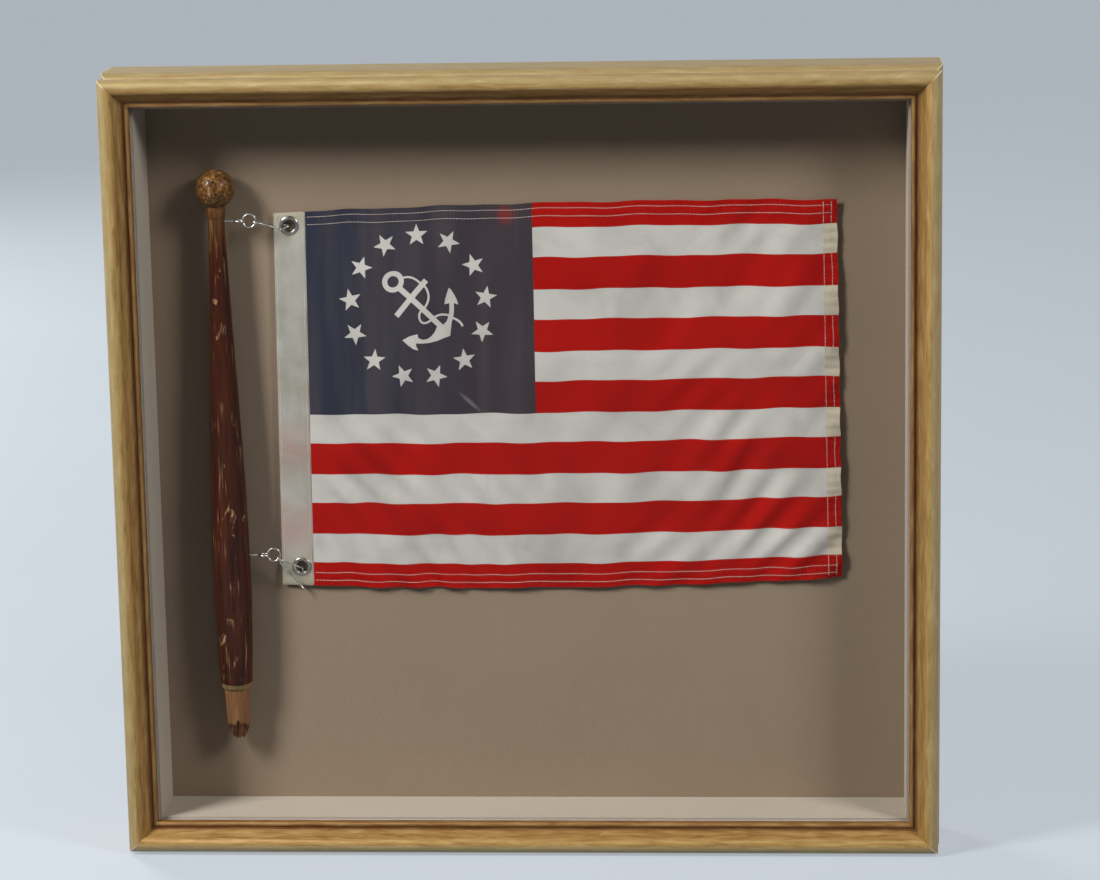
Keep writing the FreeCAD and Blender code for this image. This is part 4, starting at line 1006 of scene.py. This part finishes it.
def seen_rays(tree):
    """1 for what the camera, a mirror or glass sees, 0 for light that falls on the object."""
    rays = tree.nodes.new("ShaderNodeLightPath").outputs
    level = rays["Is Camera Ray"]
    for ray in ("Is Glossy Ray", "Is Transmission Ray"):
        node = tree.nodes.new("ShaderNodeMath")
        node.operation = "MAXIMUM"
        tree.links.new(level, node.inputs[0])
        tree.links.new(rays[ray], node.inputs[1])
        level = node.outputs[0]
    return level


def make_floor():
    """A plain pale floor that glows only for what sees it, so it keeps the shadow."""
    mesh = bpy.data.meshes.new("floor")
    corners = [(x * FLOOR_REACH, y * FLOOR_REACH, 0) for x, y in ((-1, -1), (1, -1), (1, 1), (-1, 1))]
    mesh.from_pydata(corners, [], [(0, 1, 2, 3)])
    look = Look("floor_paper", Roughness=0.8)
    look.colour(look.ramp(look.noise(1.5, 3), (0.3, srgb(108, 114, 120)), (0.7, srgb(114, 120, 126))))
    look.put(look.shader.inputs["Emission Color"], srgb(196, 204, 212))
    look.put(look.shader.inputs["Emission Strength"], look.math("MULTIPLY", seen_rays(look.tree), FLOOR_GLOW))
    mesh.materials.append(look.material)
    floor = bpy.data.objects.new("floor", mesh)
    bpy.context.scene.collection.objects.link(floor)


def make_world():
    """A pale studio world that lights the object only a little."""
    world = bpy.data.worlds.new("studio")
    bpy.context.scene.world = world
    world.use_nodes = True
    tree = world.node_tree
    sky = tree.nodes["Background"]
    sky.inputs["Color"].default_value = (0.93, 0.97, 1.0, 1.0)
    node = tree.nodes.new("ShaderNodeMath")
    node.operation = "MULTIPLY_ADD"
    tree.links.new(seen_rays(tree), node.inputs[0])
    node.inputs[1].default_value = SKY_SEEN
    node.inputs[2].default_value = SKY_LIGHT
    tree.links.new(node.outputs[0], sky.inputs["Strength"])


def make_lamps():
    """Three soft lamps: one from each side in front, and one behind."""
    for name, place, size, power in LAMPS:
        lamp = bpy.data.lights.new(name, "AREA")
        lamp.shape = "RECTANGLE"
        lamp.size = size
        lamp.size_y = size * LAMP_TALL
        lamp.energy = power
        lamp.color = LAMP_COLOUR
        holder = bpy.data.objects.new(name, lamp)
        holder.location = place
        holder.rotation_euler = (LAMP_AIM - Vector(place)).to_track_quat("-Z", "Y").to_euler()
        bpy.context.scene.collection.objects.link(holder)


CAMERA_TURNS = (-3.77, 11.74, -1.04)
CAMERA_PLACE = Vector((0.2007, -2.7738, 0.9114))
SENSOR_WIDTH, FOCAL_LENGTH = 36.0, 114.545


def make_camera():
    """The photograph's own view: from slightly above and to the right, through a long lens."""
    yaw, pitch, roll = (math.radians(d) for d in CAMERA_TURNS)
    ahead = Vector((math.sin(yaw) * math.cos(pitch), math.cos(yaw) * math.cos(pitch), -math.sin(pitch)))
    right = Vector((math.cos(yaw), -math.sin(yaw), 0))
    up = right.cross(ahead)
    across = right * math.cos(roll) + up * math.sin(roll)
    rise = up * math.cos(roll) - right * math.sin(roll)
    lens = bpy.data.cameras.new("camera")
    lens.sensor_fit = "HORIZONTAL"
    lens.sensor_width = SENSOR_WIDTH
    lens.lens = FOCAL_LENGTH
    lens.clip_end = 100.0
    camera = bpy.data.objects.new("camera", lens)
    place = Matrix((across, rise, -ahead)).transposed().to_4x4()
    place.translation = CAMERA_PLACE
    camera.matrix_world = place
    bpy.context.scene.collection.objects.link(camera)
    bpy.context.scene.camera = camera


make_floor()
make_world()
make_lamps()
make_camera()
bpy.context.scene.view_settings.view_transform = "Standard"
